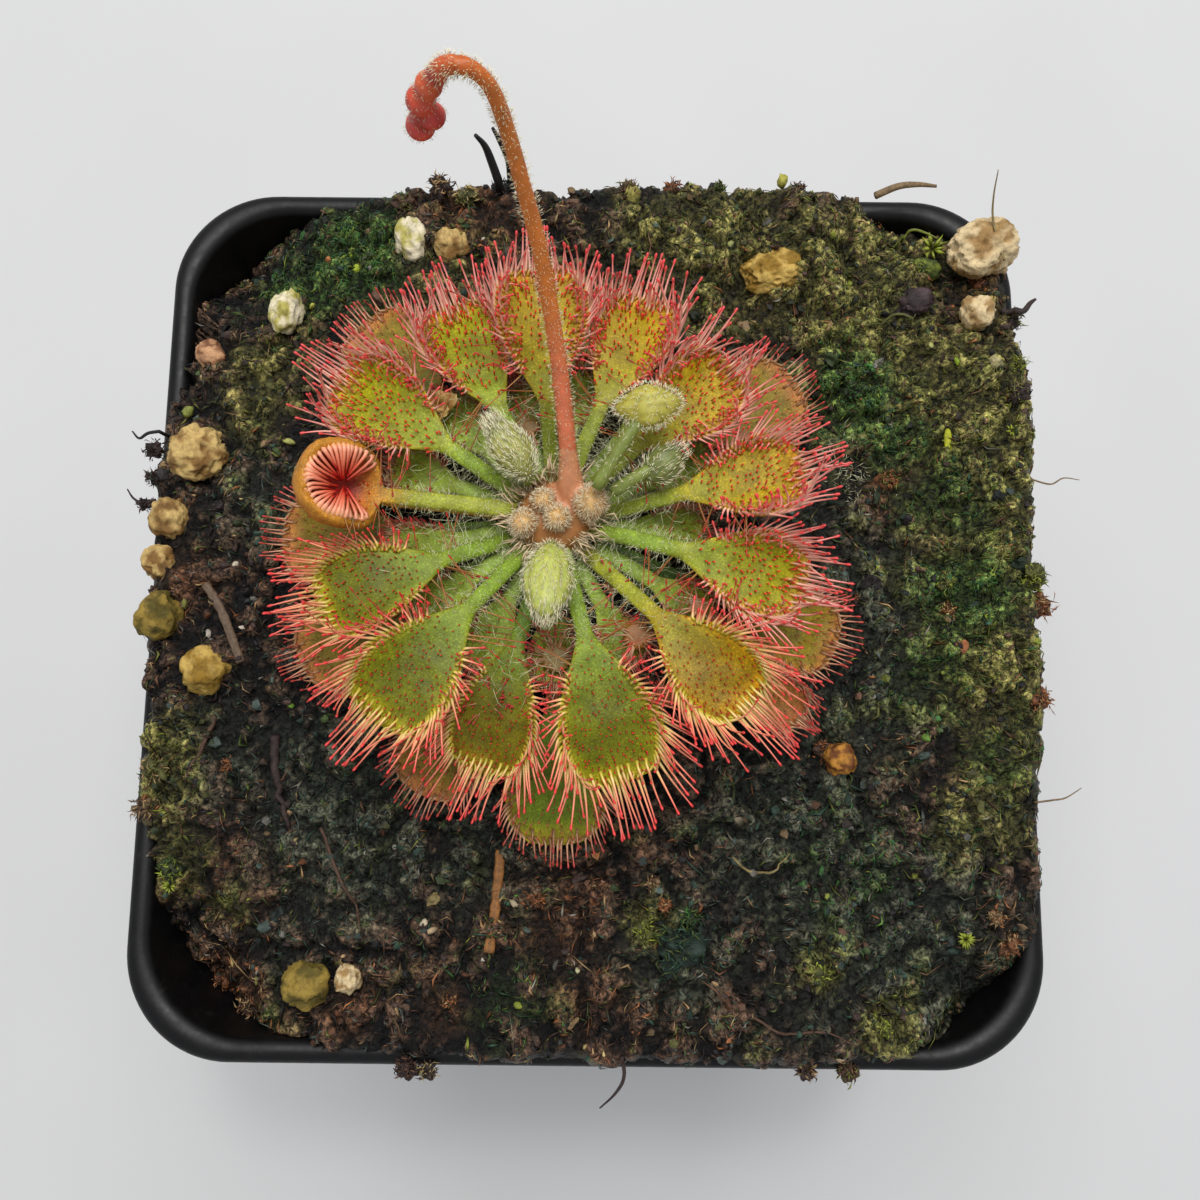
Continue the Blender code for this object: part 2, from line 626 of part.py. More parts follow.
def make_blade(form, collection, look):
    """Leaf with its stalk: a grid laid on the leaf's form and given a thickness."""
    shape = bmesh.new()
    bmesh.ops.create_grid(shape, x_segments=LEAF_ROWS, y_segments=LEAF_COLUMNS, size=1.0)
    for vertex in shape.verts:
        row = (vertex.co.x + 1) / 2
        if row < ROWS_ON_STALK:
            s = form.blade * row / ROWS_ON_STALK
        else:
            s = form.blade + (form.tip_row - form.blade) * (row - ROWS_ON_STALK) / (1 - ROWS_ON_STALK)
        vertex.co = form.point(s, vertex.co.y)
    blade = add_object(form.leaf.name, mesh_from(shape, form.leaf.name), collection, look)
    thickness = blade.modifiers.new("thickness", "SOLIDIFY")
    thickness.thickness = BLADE_THICKNESS * MM
    thickness.offset = -1.0 if blade.data.polygons[0].normal.z > 0 else 1.0
    apply_modifiers(blade)
    return blade


def spike(name, path, radii, collection):
    """Three-sided needle along a path."""
    rings = []
    for index, (place, radius) in enumerate(zip(path, radii)):
        ahead = (path[min(index + 1, len(path) - 1)] - path[max(index - 1, 0)]).normalized()
        turn = ahead.to_track_quat("Z", "Y").to_matrix()
        angles = [2 * math.pi * side / TENTACLE_SIDES for side in range(TENTACLE_SIDES)]
        rings.append([place + turn @ Vector((math.cos(a), math.sin(a), 0)) * radius * MM for a in angles])
    return add_object(name, loft(name, rings), collection)


def is_clear(path, radius, trees):
    """Whether a needle stays clear of the other pieces' surfaces."""
    for first, second in zip(path, path[1:]):
        steps = max(2, int((second - first).length / (CLEARANCE * MM)))
        for step in range(steps + 1):
            place = first.lerp(second, step / steps)
            if any(tree.find_nearest(place, (radius + CLEARANCE) * MM)[0] for tree in trees):
                return False
    return True


def bent_path(root, base, outward, normal, length, lift):
    """Path of a tentacle: out of the blade, rising, and a little more upright at its end."""
    first, second = math.radians(lift), math.radians(lift + TENTACLE_CURL)
    elbow = base + (outward * math.cos(first) + normal * math.sin(first)) * length * ELBOW
    end = elbow + (outward * math.cos(second) + normal * math.sin(second)) * length * (1 - ELBOW)
    return [root, elbow, end]


def grow_tentacles(form, blade, trees, collection):
    """Tentacles round the blade's margin and short glands on its face, bent clear of other pieces."""
    draw = random.Random(form.leaf.name)
    centre = form.point((form.blade + form.tip_row) / 2, 0)
    curled = form.leaf.arc > CURLED_ARC
    spikes = []
    for index in range(form.leaf.tentacles):
        s, v = form.margin((index + 0.5) / form.leaf.tentacles)
        edge = form.point(s, v)
        normal = form.frame(s)[3]
        outward = (edge - centre).normalized()
        if curled:
            outward = (outward * CURLED_LEAN + Vector((0, 0, 1))).normalized()
        inward = (centre - edge).normalized() * ROOT_DEPTH * MM
        root = edge + inward - normal * BLADE_THICKNESS / 2 * MM
        reach = form.leaf.spread * draw.uniform(1 - LENGTH_SPREAD, 1 + LENGTH_SPREAD) * MM
        lift = form.leaf.lift + draw.uniform(-LIFT_SPREAD, LIFT_SPREAD)
        for change, share in BENDS:
            path = bent_path(root, edge, outward, normal, reach * share, lift + change)
            if is_clear(path, TENTACLE_HEAD, trees):
                radii = (TENTACLE_RADIUS * 1.2, TENTACLE_RADIUS, TENTACLE_HEAD)
                spikes.append(spike("tentacle", path, radii, collection))
                break
    for index in range(form.leaf.glands):
        angle = 2 * math.pi * (index + 0.3) / form.leaf.glands
        s = form.widest + GLAND_RING * (form.tip_row - form.blade) * math.cos(angle)
        v = 2 * GLAND_RING * math.sin(angle)
        place, normal = form.point(s, v), form.frame(s)[3]
        path = [place - normal * BLADE_THICKNESS / 2 * MM, place + normal * GLAND_LENGTH * MM]
        if is_clear(path, TENTACLE_HEAD, trees):
            spikes.append(spike("gland", path, (TENTACLE_RADIUS, TENTACLE_HEAD), collection))
    combine(blade, spikes, "UNION", solver="MANIFOLD")


# Young leaves
def make_young_leaf(bud, collection):
    """Closed young leaf: a flattened oval with a short stalk and stiff hairs, fused."""
    draw = random.Random(bud.name)
    turn = Matrix.Rotation(math.radians(bud.azimuth), 4, "Z")
    tilt = Matrix.Rotation(math.radians(-bud.pitch), 4, "Y")
    place = Matrix.Translation(above_rim(bud.x, bud.y, bud.height)) @ turn @ tilt
    size = Matrix.Diagonal((bud.length / 2 * MM, bud.width / 2 * MM, bud.thickness / 2 * MM, 1))
    shape = bmesh.new()
    bmesh.ops.create_icosphere(shape, subdivisions=2, radius=1.0, matrix=place @ size)
    leaf = add_object(bud.name, mesh_from(shape, bud.name), collection, "young_leaf")
    middle = above_rim(bud.x, bud.y, bud.height)
    foot = above_rim(*bud.stalk)
    knee = foot.lerp(middle, 0.5) + Vector((0, 0, YOUNG_STALK_ARCH * MM))
    parts = [spike("stalk", [foot, knee, middle], YOUNG_STALK_RADII, collection)]
    for index in range(bud.hairs):
        around = 2 * math.pi * (index + draw.uniform(-0.2, 0.2)) / bud.hairs
        up = draw.uniform(0.1, 0.7)
        unit = Vector((math.cos(around), math.sin(around), up)).normalized()
        skin = place @ (size @ unit)
        out = (place.to_3x3() @ unit).normalized()
        path = [skin - out * HAIR_ROOT * MM, skin + out * HAIR_LENGTH * MM]
        parts.append(spike("hair", path, HAIR_RADII, collection))
    combine(leaf, parts, "UNION", solver="MANIFOLD")
    return leaf


# Flower stalk and buds
def make_flower_stalk(collection):
    """Arching stalk that thins towards its nodding tip."""
    route = smooth_route([above_rim(*point) for point in STALK_ROUTE], STALK_POINTS)
    low, high = STALK_RADII
    radii = [(low + (high - low) * step / (STALK_POINTS - 1)) * MM for step in range(STALK_POINTS)]
    return tube("flower_stalk", route, radii, collection, "stalk")


def make_flower_buds(collection):
    """Cluster of closed buds that hangs from the stalk's tip."""
    first, *rest = FLOWER_BUDS
    cluster = ball("flower_buds", first[:3], first[3], collection, "flower_bud")
    combine(cluster, [ball("bud", bud[:3], bud[3], collection) for bud in rest], "UNION")


# Grains and twigs
def grain_mesh(grain, growth):
    """Uneven lump of a grain's size, grown all round by some millimetres."""
    turn = Matrix.Rotation(math.radians(grain.turn), 4, "Z")
    half = ((grain.width / 2 + growth) * MM, (grain.depth / 2 + growth) * MM, (grain.tall / 2 + growth) * MM)
    place = Matrix.Translation(above_rim(grain.x, grain.y, grain.height))
    shape = bmesh.new()
    bmesh.ops.create_icosphere(shape, subdivisions=2, radius=1.0)
    shift = Vector((grain.x, grain.y, 0))
    for vertex in shape.verts:
        rough = 1 + GRAIN_ROUGHNESS * noise.noise(vertex.co * GRAIN_LUMPS + shift)
        vertex.co = place @ turn @ (Matrix.Diagonal((*half, 1)) @ (vertex.co * rough))
    return mesh_from(shape, grain.name)


def grain_look(name):
    """Material name of a grain."""
    return {"green_pebble": "pebble", "bark_chip": "bark"}.get(name, "perlite")


def make_grains(collection):
    """Grains and, for each, a slightly larger cutter for its pocket in the peat."""
    pockets = []
    for grain in GRAINS:
        add_object(grain.name, grain_mesh(grain, 0.0), collection, grain_look(grain.name))
        pockets.append(add_object("pocket", grain_mesh(grain, POCKET_GAP), collection))
    return pockets


def make_twigs(collection):
    """Twigs and, for each, a slightly larger cutter for its bed in the peat."""
    beds = []
    for twig in TWIGS:
        points = [above_rim(x, y, peat_height(x, y) + twig.lift) for x, y in twig.route]
        route = smooth_route(points, TWIG_POINTS)
        tube(twig.name, route, [twig.radius * MM] * TWIG_POINTS, collection, "twig")
        before = (route[0] - route[1]).normalized() * TWIG_GAP * MM
        after = (route[-1] - route[-2]).normalized() * TWIG_GAP * MM
        bed = [route[0] + before, *route[1:-1], route[-1] + after]
        beds.append(tube("bed", bed, [(twig.radius + TWIG_GAP) * MM] * TWIG_POINTS, collection))
    return beds


def main():
    """Build every piece, then grow the tentacles where they clear the rest."""
    clear_scene()
    collection = new_collection("potted_sundew")
    forms = [(LeafForm(leaf, UPPER_START), "leaf") for leaf in UPPER_LEAVES]
    forms += [(LeafForm(leaf, LOWER_START), "lower_leaf") for leaf in LOWER_LEAVES]
    blades = [make_blade(form, collection, look) for form, look in forms]
    cutters = make_grains(collection) + make_twigs(collection)
    make_pot(collection)
    make_peat(collection, [tree_of(blade) for blade in blades], cutters)
    make_crown(collection)
    for bud in YOUNG_LEAVES:
        make_young_leaf(bud, collection)
    make_flower_stalk(collection)
    make_flower_buds(collection)
    bpy.context.view_layer.update()
    trees = {item.name: tree_of(item) for item in collection.objects}
    for (form, _), blade in zip(forms, blades):
        others = [tree for name, tree in trees.items() if name != blade.name]
        grow_tentacles(form, blade, others, collection)
        trees[blade.name] = tree_of(blade)


main()
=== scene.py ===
"""Looks of the potted sundew: leaves with tentacles and hairs, mossy peat, grains and a black pot.

Everything is worked out in millimetres, with heights counted from the top of the pot's rim, as in the
part's own source, and is turned into metres above the floor when a mesh is made.
"""
import math
import random
from collections import namedtuple

import bmesh
import bpy
import numpy as np
from mathutils import Matrix, Vector, noise
from mathutils.bvhtree import BVHTree


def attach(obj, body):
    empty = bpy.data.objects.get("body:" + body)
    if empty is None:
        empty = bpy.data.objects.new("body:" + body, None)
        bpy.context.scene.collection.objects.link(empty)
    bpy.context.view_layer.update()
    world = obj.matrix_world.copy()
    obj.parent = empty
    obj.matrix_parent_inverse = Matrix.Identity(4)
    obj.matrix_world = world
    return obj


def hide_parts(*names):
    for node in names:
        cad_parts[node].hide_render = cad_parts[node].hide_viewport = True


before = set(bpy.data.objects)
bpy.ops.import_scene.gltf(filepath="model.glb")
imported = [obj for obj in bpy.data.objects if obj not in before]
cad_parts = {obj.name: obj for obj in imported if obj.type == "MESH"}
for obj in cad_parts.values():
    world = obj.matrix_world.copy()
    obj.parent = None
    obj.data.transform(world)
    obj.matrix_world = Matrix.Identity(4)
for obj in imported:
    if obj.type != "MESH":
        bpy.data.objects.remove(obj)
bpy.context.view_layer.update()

MM = 0.001
POT_HEIGHT = 70.0
RIM_WIDTH = 76.0
BASE_WIDTH = 54.0
LIP_WIDTH = 2.0
LIP_ROUND = 0.9
BAND_HEIGHT = 8.0
WALL = 1.1
FLOOR = 1.6
EDGE_ROUND = 0.8
CORNER_RADIUS = 9.0
DRAIN_RADIUS = 3.0
DRAIN_PLACE = 18.0
SHARP_ANGLE = 40
GAP = 0.3

# Start of the random draws of each kind of piece
SEEDS = {
    "leaf": 0, "twig": 2, "petiole_hairs": 3, "bowl": 5, "crown_hairs": 8, "margin": 10,
    "flower_stalk": 12, "flower_buds": 21, "crossing": 30, "strands": 31, "crumbs": 37, "moss": 41,
    "clumps": 43, "bits": 47, "glands": 50, "stars": 53, "old_leaves": 61, "tangle": 71, "young_leaf": 90,
}

# Camera of the photograph: place from the rim's middle in millimetres, angles in degrees
CAMERA_PLACE = (1.3, -15.5, 98.9)
CAMERA_PITCH = 80.8
CAMERA_ROLL = -0.6
CAMERA_YAW = -1.2
CAMERA_LENS = 34.8
CAMERA_SENSOR = 36
CAMERA_NEAR = 0.001

# Peat, as in the part's source
Bump = namedtuple("Bump", "x y height spread")
PEAT_HALF_WIDTH = 37.7
PEAT_LEVEL = 0.9
PEAT_LUMP_HEIGHT = 0.9
PEAT_LUMP_SIZE = 4.2
PEAT_EDGE = 35.8
PEAT_EDGE_DROP = 0.75
PRESS_REACH = 1.5
PRESS_DEPTH = 0.35
PRESS_STEP = 0.6
PRESS_HALF = 40.0
OPEN_AIR = 99.0
RAY_START = -20
RAY_LENGTH = 60
PEAT_BUMPS = [
    Bump(-2.6, 5.1, 5.0, 13.0),
    Bump(35.0, 12.0, 4.6, 6.5),
    Bump(35.0, -6.0, 4.2, 7.0),
    Bump(31.0, -17.0, 2.0, 6.0),
    Bump(-34.0, 7.0, 2.0, 6.5),
    Bump(-34.0, -8.0, 2.2, 7.0),
    Bump(-12.0, 33.0, 2.6, 6.0),
    Bump(3.0, 34.0, 3.6, 6.0),
    Bump(19.0, 33.0, 3.4, 6.5),
    Bump(36.0, 21.0, 2.4, 3.5),
    Bump(34.0, -27.0, 2.5, 4.0),
    Bump(-5.0, -34.0, 1.7, 7.0),
    Bump(14.0, -34.0, 1.8, 8.0),
    Bump(7.2, -28.2, 1.9, 2.6),
    Bump(19.4, -29.3, 1.2, 2.4),
    Bump(-36.0, -36.0, -12.0, 6.5),
    Bump(38.0, -37.0, -12.0, 5.5),
    Bump(-37.0, 37.0, -11.0, 6.0),
    Bump(29.0, 37.5, -5.0, 3.6),
]
PEAT_CELLS = 262
PEAT_GRID_HALF = 39.2
PEAT_RAGGED = 2.4
# Relief of the peat's top: size and depth of its clods, lumps and specks, and depth of its strands
CLOD_SIZE, CLOD_DEPTH = 3.2, 2.6
LUMP_SIZE, LUMP_DEPTH = 1.2, 1.7
SPECK_SIZE, SPECK_DEPTH = 0.45, 0.25
STRAND_DEPTH = 0.3
RELIEF_DROP = 0.8
FLAT_TOP = 0.42
EDGE_ZONE = 1.0
STRANDS = 13000
# Crumbs: how many of each kind, the smallest and largest size, and how finely they are cut
CRUMBS = ((3000, 0.12, 0.36, 1), (50, 0.4, 0.6, 2))
MOSS_STRANDS = 10000
MOSS_TRIES = 60000
DRIFT_SIZE = 5
DRIFT_TURN = 9
DRIFT_STRAY = 1.1
STRAND_BEND = 0.3
FIBRE_BEND = 0.15
FRINGE_RADII = (0.04, 0.1)
MOULD = (22.2, 11.5)
MOULD_THREADS = 130
MOULD_SPREAD = ([1.3], [1.6])
SLIVER = (30.0, 13.5)
SLIVER_SIZE = (0.36, 1.75, 0.16)
SLIVER_COLOUR = (186, 190, 34)
GROUND_COLOURS = {"brown": (112, 76, 52), "algae": (84, 92, 76), "olive": (164, 158, 88),
                  "emerald": (104, 136, 66)}
EDGE_NOTCHES = [(-2.6, 38.0, 2.6, 1.7), (-18.5, 37.0, 2.0, 1.2), (24.5, 38.0, 1.6, 1.4),
                (-37.0, -10.5, 1.4, 1.2), (-37.0, 25.0, 3.4, 3.6)]

# What grows on the peat: place, reach and strength of each patch
PATCH_SOFTNESS = 1.4
Patch = namedtuple("Patch", "x y reach strength")
PATCHES = {
    "emerald": [
        (-21.8, 31.0, 4.5, 1.0), (-26.5, 29.5, 3.5, 0.8), (22.8, 18.2, 3.4, 1.0),
        (26.1, 14.2, 2.6, 0.9), (29.6, 8.5, 3.0, 0.7), (31.5, 1.0, 3.4, 1.1), (28.5, -6.0, 3.5, 0.6),
        (17.0, 17.5, 3.0, 0.5), (-6.0, -31.5, 3.5, 0.4), (22.0, -22.0, 4.0, 0.35),
        (33.0, -12.0, 3.5, 0.4),
    ],
    "olive": [
        (9.5, 31.0, 8.0, 0.8), (22.6, 28.0, 8.0, 0.9), (31.0, 18.0, 8.0, 0.9), (34.5, 6.0, 7.0, 1.0),
        (34.0, -6.0, 7.0, 0.8), (32.5, -16.0, 5.0, 0.6), (-35.3, -14.4, 3.4, 0.9),
        (-33.8, -21.8, 2.6, 0.7), (-28.0, 19.0, 5.0, 0.6), (-12.0, 29.0, 4.0, 0.5),
        (24.4, -34.2, 2.2, 1.0), (5.0, -26.0, 1.8, 0.9), (19.0, -29.8, 1.6, 1.0),
        (-30.0, -26.0, 2.5, 0.4),
    ],
    "algae": [
        (24.7, 0.4, 6.0, 0.9), (21.0, -8.0, 7.0, 1.0), (18.0, -19.0, 8.0, 0.9), (26.0, -28.0, 9.0, 0.9),
        (7.2, -28.2, 4.5, 0.9), (-20.0, -18.0, 8.0, 0.9), (-8.0, -19.0, 6.0, 0.8),
        (-29.0, -14.0, 5.0, 0.6), (-24.0, -28.5, 4.0, 0.5), (-25.0, 8.0, 6.0, 0.6),
        (20.0, 8.0, 5.0, 0.6),
    ],
    "brown": [
        (-28.0, -22.5, 4.0, 0.8), (-3.0, -25.0, 5.0, 0.7), (3.0, -32.0, 5.0, 0.5),
        (25.6, 9.0, 3.0, 0.8), (34.2, -27.5, 3.4, 1.0), (-31.0, -33.0, 3.5, 1.0),
        (-10.0, 35.0, 4.5, 0.8), (-19.0, -33.5, 2.2, 0.9), (-11.0, -33.0, 2.0, 0.8),
        (29.6, -1.0, 2.2, 0.8), (25.0, -13.0, 2.2, 0.7), (34.0, 27.0, 3.0, 0.7), (-33.0, 1.0, 3.0, 0.6),
        (14.0, 25.5, 4.0, 0.5),
    ],
}
# Colours of the loose strands, and how common each is in every kind of growth
TONES = {
    "soot": (26, 22, 22), "umber": (58, 42, 38), "brown": (92, 66, 50), "rust": (132, 80, 46),
    "tan": (142, 116, 82), "straw": (160, 142, 92), "grey": (120, 116, 108), "slate": (58, 70, 64),
    "olive": (98, 98, 46), "dark_moss": (56, 70, 36), "lime": (128, 136, 48), "emerald": (52, 92, 44),
    "teal": (42, 64, 52),
}
GROWTH = {
    "plain": {"soot": 3, "umber": 4, "brown": 2.6, "rust": 0.5, "tan": 0.8, "straw": 0.2, "grey": 0.6,
              "slate": 2, "dark_moss": 1, "olive": 0.4},
    "brown": {"umber": 8, "brown": 10, "rust": 6, "tan": 5, "straw": 1},
    "algae": {"soot": 8, "slate": 8, "teal": 14, "dark_moss": 6, "grey": 1},
    "olive": {"olive": 16, "dark_moss": 12, "lime": 1.6, "brown": 5, "tan": 2, "umber": 4, "straw": 1},
    "emerald": {"emerald": 26, "dark_moss": 14, "teal": 8, "lime": 2},
}

# Clumps, bits and roots that lie on the peat or hang over the rim, as seen in the photograph
Clump = namedtuple("Clump", "x y height size tone fringe")
CLUMPS = [
    (36.9, 2.2, 4.6, 1.5, "olive", "lime"), (37.5, -0.2, 4.2, 1.4, "rust", "tan"),
    (36.2, 20.2, 3.2, 1.1, "olive", "lime"), (35.8, 17.4, 3.6, 1.2, "umber", "olive"),
    (36.6, -8.0, 3.6, 1.2, "rust", "tan"), (37.0, 25.6, 2.2, 1.2, "umber", "olive"),
    (3.1, 35.9, 3.2, 1.2, "brown", "olive"), (7.0, 36.6, 3.0, 1.0, "rust", "brown"),
    (11.0, 37.2, 2.8, 1.0, "olive", "dark_moss"), (18.4, 37.6, 2.2, 0.9, "umber", "brown"),
    (-8.0, 36.6, 4.0, 1.5, "soot", "umber"), (-13.5, 36.4, 3.4, 1.5, "umber", "tan"),
    (-16.6, 35.2, 3.2, 1.4, "brown", "olive"), (-11.0, 35.4, 3.8, 1.2, "olive", "straw"),
    (-37.2, 12.6, 3.4, 1.0, "umber", "soot"), (-37.1, 10.2, 3.2, 0.9, "umber", "slate"),
    (-37.8, 7.9, 3.0, 0.7, "umber", "soot"), (-35.4, -14.4, 2.2, 1.5, "olive", "tan"),
    (-36.6, -17.5, 0.8, 1.2, "tan", "umber"), (-34.4, -22.6, 0.4, 1.3, "dark_moss", "lime"),
    (-32.0, -32.6, -1.5, 1.6, "rust", "brown"), (-29.0, -34.6, -1.0, 1.3, "brown", "tan"),
    (-14.2, -38.0, 0.5, 1.3, "umber", "brown"), (-12.6, -38.2, 0.3, 1.0, "umber", "straw"),
    (18.0, -37.8, 0.7, 1.0, "umber", "tan"), (21.4, -38.0, 0.4, 1.1, "brown", "olive"),
    (7.4, -27.8, 2.2, 2.6, "teal", "dark_moss"), (4.9, -26.9, 2.5, 1.2, "olive", "lime"),
    (8.2, -25.7, 3.2, 1.2, "dark_moss", "emerald"), (18.9, -30.0, 1.8, 1.0, "olive", "lime"),
    (24.0, -34.2, 1.2, 0.8, "lime", "olive"), (34.4, -27.5, 1.6, 1.4, "rust", "tan"),
    (33.0, -25.4, 2.2, 0.8, "tan", "rust"), (5.6, -23.2, 2.6, 0.8, "tan", "brown"),
    (6.4, -24.8, 2.8, 0.7, "rust", "tan"), (-3.8, -24.5, 2.6, 0.8, "rust", "brown"),
    (-10.8, -32.6, 1.2, 0.8, "rust", "tan"), (25.6, 10.6, 3.8, 1.2, "rust", "olive"),
    (21.9, 0.2, 3.2, 1.1, "umber", "rust"), (29.4, 1.6, 4.4, 0.9, "olive", "lime"),
    (29.8, -0.8, 4.0, 1.0, "rust", "straw"), (22.6, 18.4, 3.2, 1.3, "dark_moss", "emerald"),
    (29.2, 30.1, 2.4, 0.8, "dark_moss", "lime"), (34.4, 29.0, 2.2, 1.0, "rust", "brown"),
    (26.2, 36.4, 1.4, 1.0, "rust", "olive"), (-29.6, -14.0, 2.8, 0.7, "rust", "brown"),
    (-9.4, 30.8, 3.4, 0.9, "umber", "rust"), (19.6, -12.2, 2.4, 1.0, "brown", "rust"),
]
Bit = namedtuple("Bit", "x y height size tone")
BITS = [
    (16.8, 38.0, 3.2, 0.85, (190, 184, 76)), (3.4, 35.4, 3.9, 1.1, (176, 166, 84)),
    (-12.9, -26.5, 2.6, 0.42, (224, 208, 176)), (-12.2, -26.9, 2.6, 0.5, (206, 178, 140)),
    (-5.8, -24.8, 3.0, 0.5, (196, 180, 146)), (-8.1, -29.2, 2.0, 0.24, (214, 206, 190)),
    (-0.5, -29.9, 2.2, 0.26, (200, 196, 150)), (-5.1, -32.6, 1.9, 0.4, (140, 150, 44)),
    (-21.0, 30.1, 2.6, 0.62, (186, 206, 60)), (-21.7, 31.4, 2.5, 0.34, (190, 212, 70)),
    (-25.0, 26.6, 2.2, 0.4, (206, 204, 90)), (31.4, 21.0, 4.4, 0.42, (150, 176, 40)),
    (29.4, 22.6, 4.2, 0.34, (196, 196, 120)), (24.0, 27.6, 3.4, 0.34, (190, 192, 120)),
    (-29.4, 2.6, 3.6, 0.34, (226, 214, 190)), (-28.9, -2.6, 3.4, 0.34, (222, 206, 190)),
    (-31.5, -3.2, 3.8, 0.4, (206, 196, 180)), (-25.9, 13.6, 3.4, 0.5, (196, 198, 110)),
    (-35.0, 16.4, 2.8, 0.6, (150, 156, 70)), (-24.6, -9.0, 3.0, 0.36, (120, 160, 50)),
    (36.4, 1.8, 5.6, 0.5, (140, 160, 40)), (27.4, -11.2, 3.0, 0.4, (120, 160, 60)),
    (12.0, 31.4, 4.0, 0.5, (182, 186, 110)), (30.9, 30.6, 3.0, 0.45, (160, 170, 60)),
    (5.4, -23.0, 3.2, 0.42, (190, 170, 100)), (19.6, -24.0, 2.4, 0.3, (150, 158, 70)),
    (-9.6, 31.8, 4.4, 0.3, (222, 216, 190)), (24.2, -34.0, 1.9, 0.5, (156, 176, 50)),
]
Root = namedtuple("Root", "route radius tone")
ROOTS = [
    ([(3.1, -36.6, 1.4), (3.3, -38.4, 1.0), (2.6, -40.0, -0.4), (1.4, -41.5, -2.0)], 0.17, "umber"),
    ([(36.9, 10.4, 4.6), (38.6, 10.0, 4.5), (39.8, 10.6, 4.3), (41.2, 10.5, 4.1)], 0.08, "tan"),
    ([(36.6, -16.3, 3.0), (38.2, -16.1, 2.5), (39.4, -15.9, 2.2), (40.8, -15.1, 2.0)], 0.09, "tan"),
    ([(-8.2, 36.6, 4.4), (-8.7, 37.6, 6.0), (-9.2, 38.3, 7.6), (-9.9, 38.5, 9.0)], 0.42, "soot"),
    ([(-7.2, 36.9, 4.4), (-7.3, 37.8, 6.4), (-7.9, 38.4, 8.4), (-8.4, 38.8, 9.6)], 0.34, "soot"),
    ([(25.0, 36.6, 3.0), (27.0, 37.4, 3.2), (28.8, 37.6, 3.2), (30.4, 37.4, 3.3)], 0.34, "tan"),
    ([(12.0, -21.0, 2.9), (13.4, -22.1, 3.2), (15.2, -22.0, 3.2), (16.7, -20.6, 2.9)], 0.13, "straw"),
    ([(-25.8, -11.5, 3.2), (-25.8, -14.0, 3.4), (-25.2, -16.4, 3.0), (-24.4, -19.0, 2.4)], 0.42, "umber"),
    ([(-30.6, -10.0, 3.6), (-31.8, -13.0, 3.2), (-32.4, -14.4, 2.8), (-32.8, -15.4, 2.4)], 0.2, "brown"),
    ([(35.6, 29.8, 4.6), (34.6, 33.0, 5.2), (34.2, 34.6, 6.6), (34.0, 36.0, 8.6)], 0.11, "straw"),
    ([(27.2, 33.2, 1.6), (28.4, 33.8, 2.2), (29.6, 33.4, 2.4), (30.6, 32.9, 2.4)], 0.14, "lime"),
    ([(36.0, 26.4, 3.2), (37.4, 25.8, 3.2), (38.2, 26.6, 3.2), (38.7, 27.0, 3.1)], 0.3, "umber"),
    ([(-36.6, 14.2, 3.4), (-37.8, 14.0, 3.4), (-38.6, 13.6, 3.2), (-39.2, 14.2, 3.3)], 0.16, "soot"),
    ([(-36.8, 8.2, 3.2), (-38.0, 8.0, 3.0), (-38.8, 8.4, 3.0), (-39.4, 9.2, 2.9)], 0.14, "umber"),
    ([(-22.0, -19.0, 2.6), (-20.0, -23.0, 2.2), (-18.6, -25.6, 1.9), (-17.8, -28.0, 1.6)], 0.16, "brown"),
    ([(13.0, -33.0, 2.4), (16.0, -34.6, 2.0), (19.0, -34.4, 1.9), (22.0, -35.6, 1.4)], 0.14, "brown"),
    ([(23.6, 24.2, 4.0), (26.4, 25.0, 4.3), (28.2, 24.4, 4.4), (30.0, 25.4, 4.2)], 0.14, "olive"),
]
Star = namedtuple("Star", "x y reach leaves")
STARS = [
    Star(30.7, 33.0, 1.5, 9), Star(30.6, -27.2, 0.9, 16), Star(30.0, 13.6, 0.7, 7),
    Star(-34.6, -24.0, 0.8, 10), Star(34.9, 14.0, 0.7, 8),
]

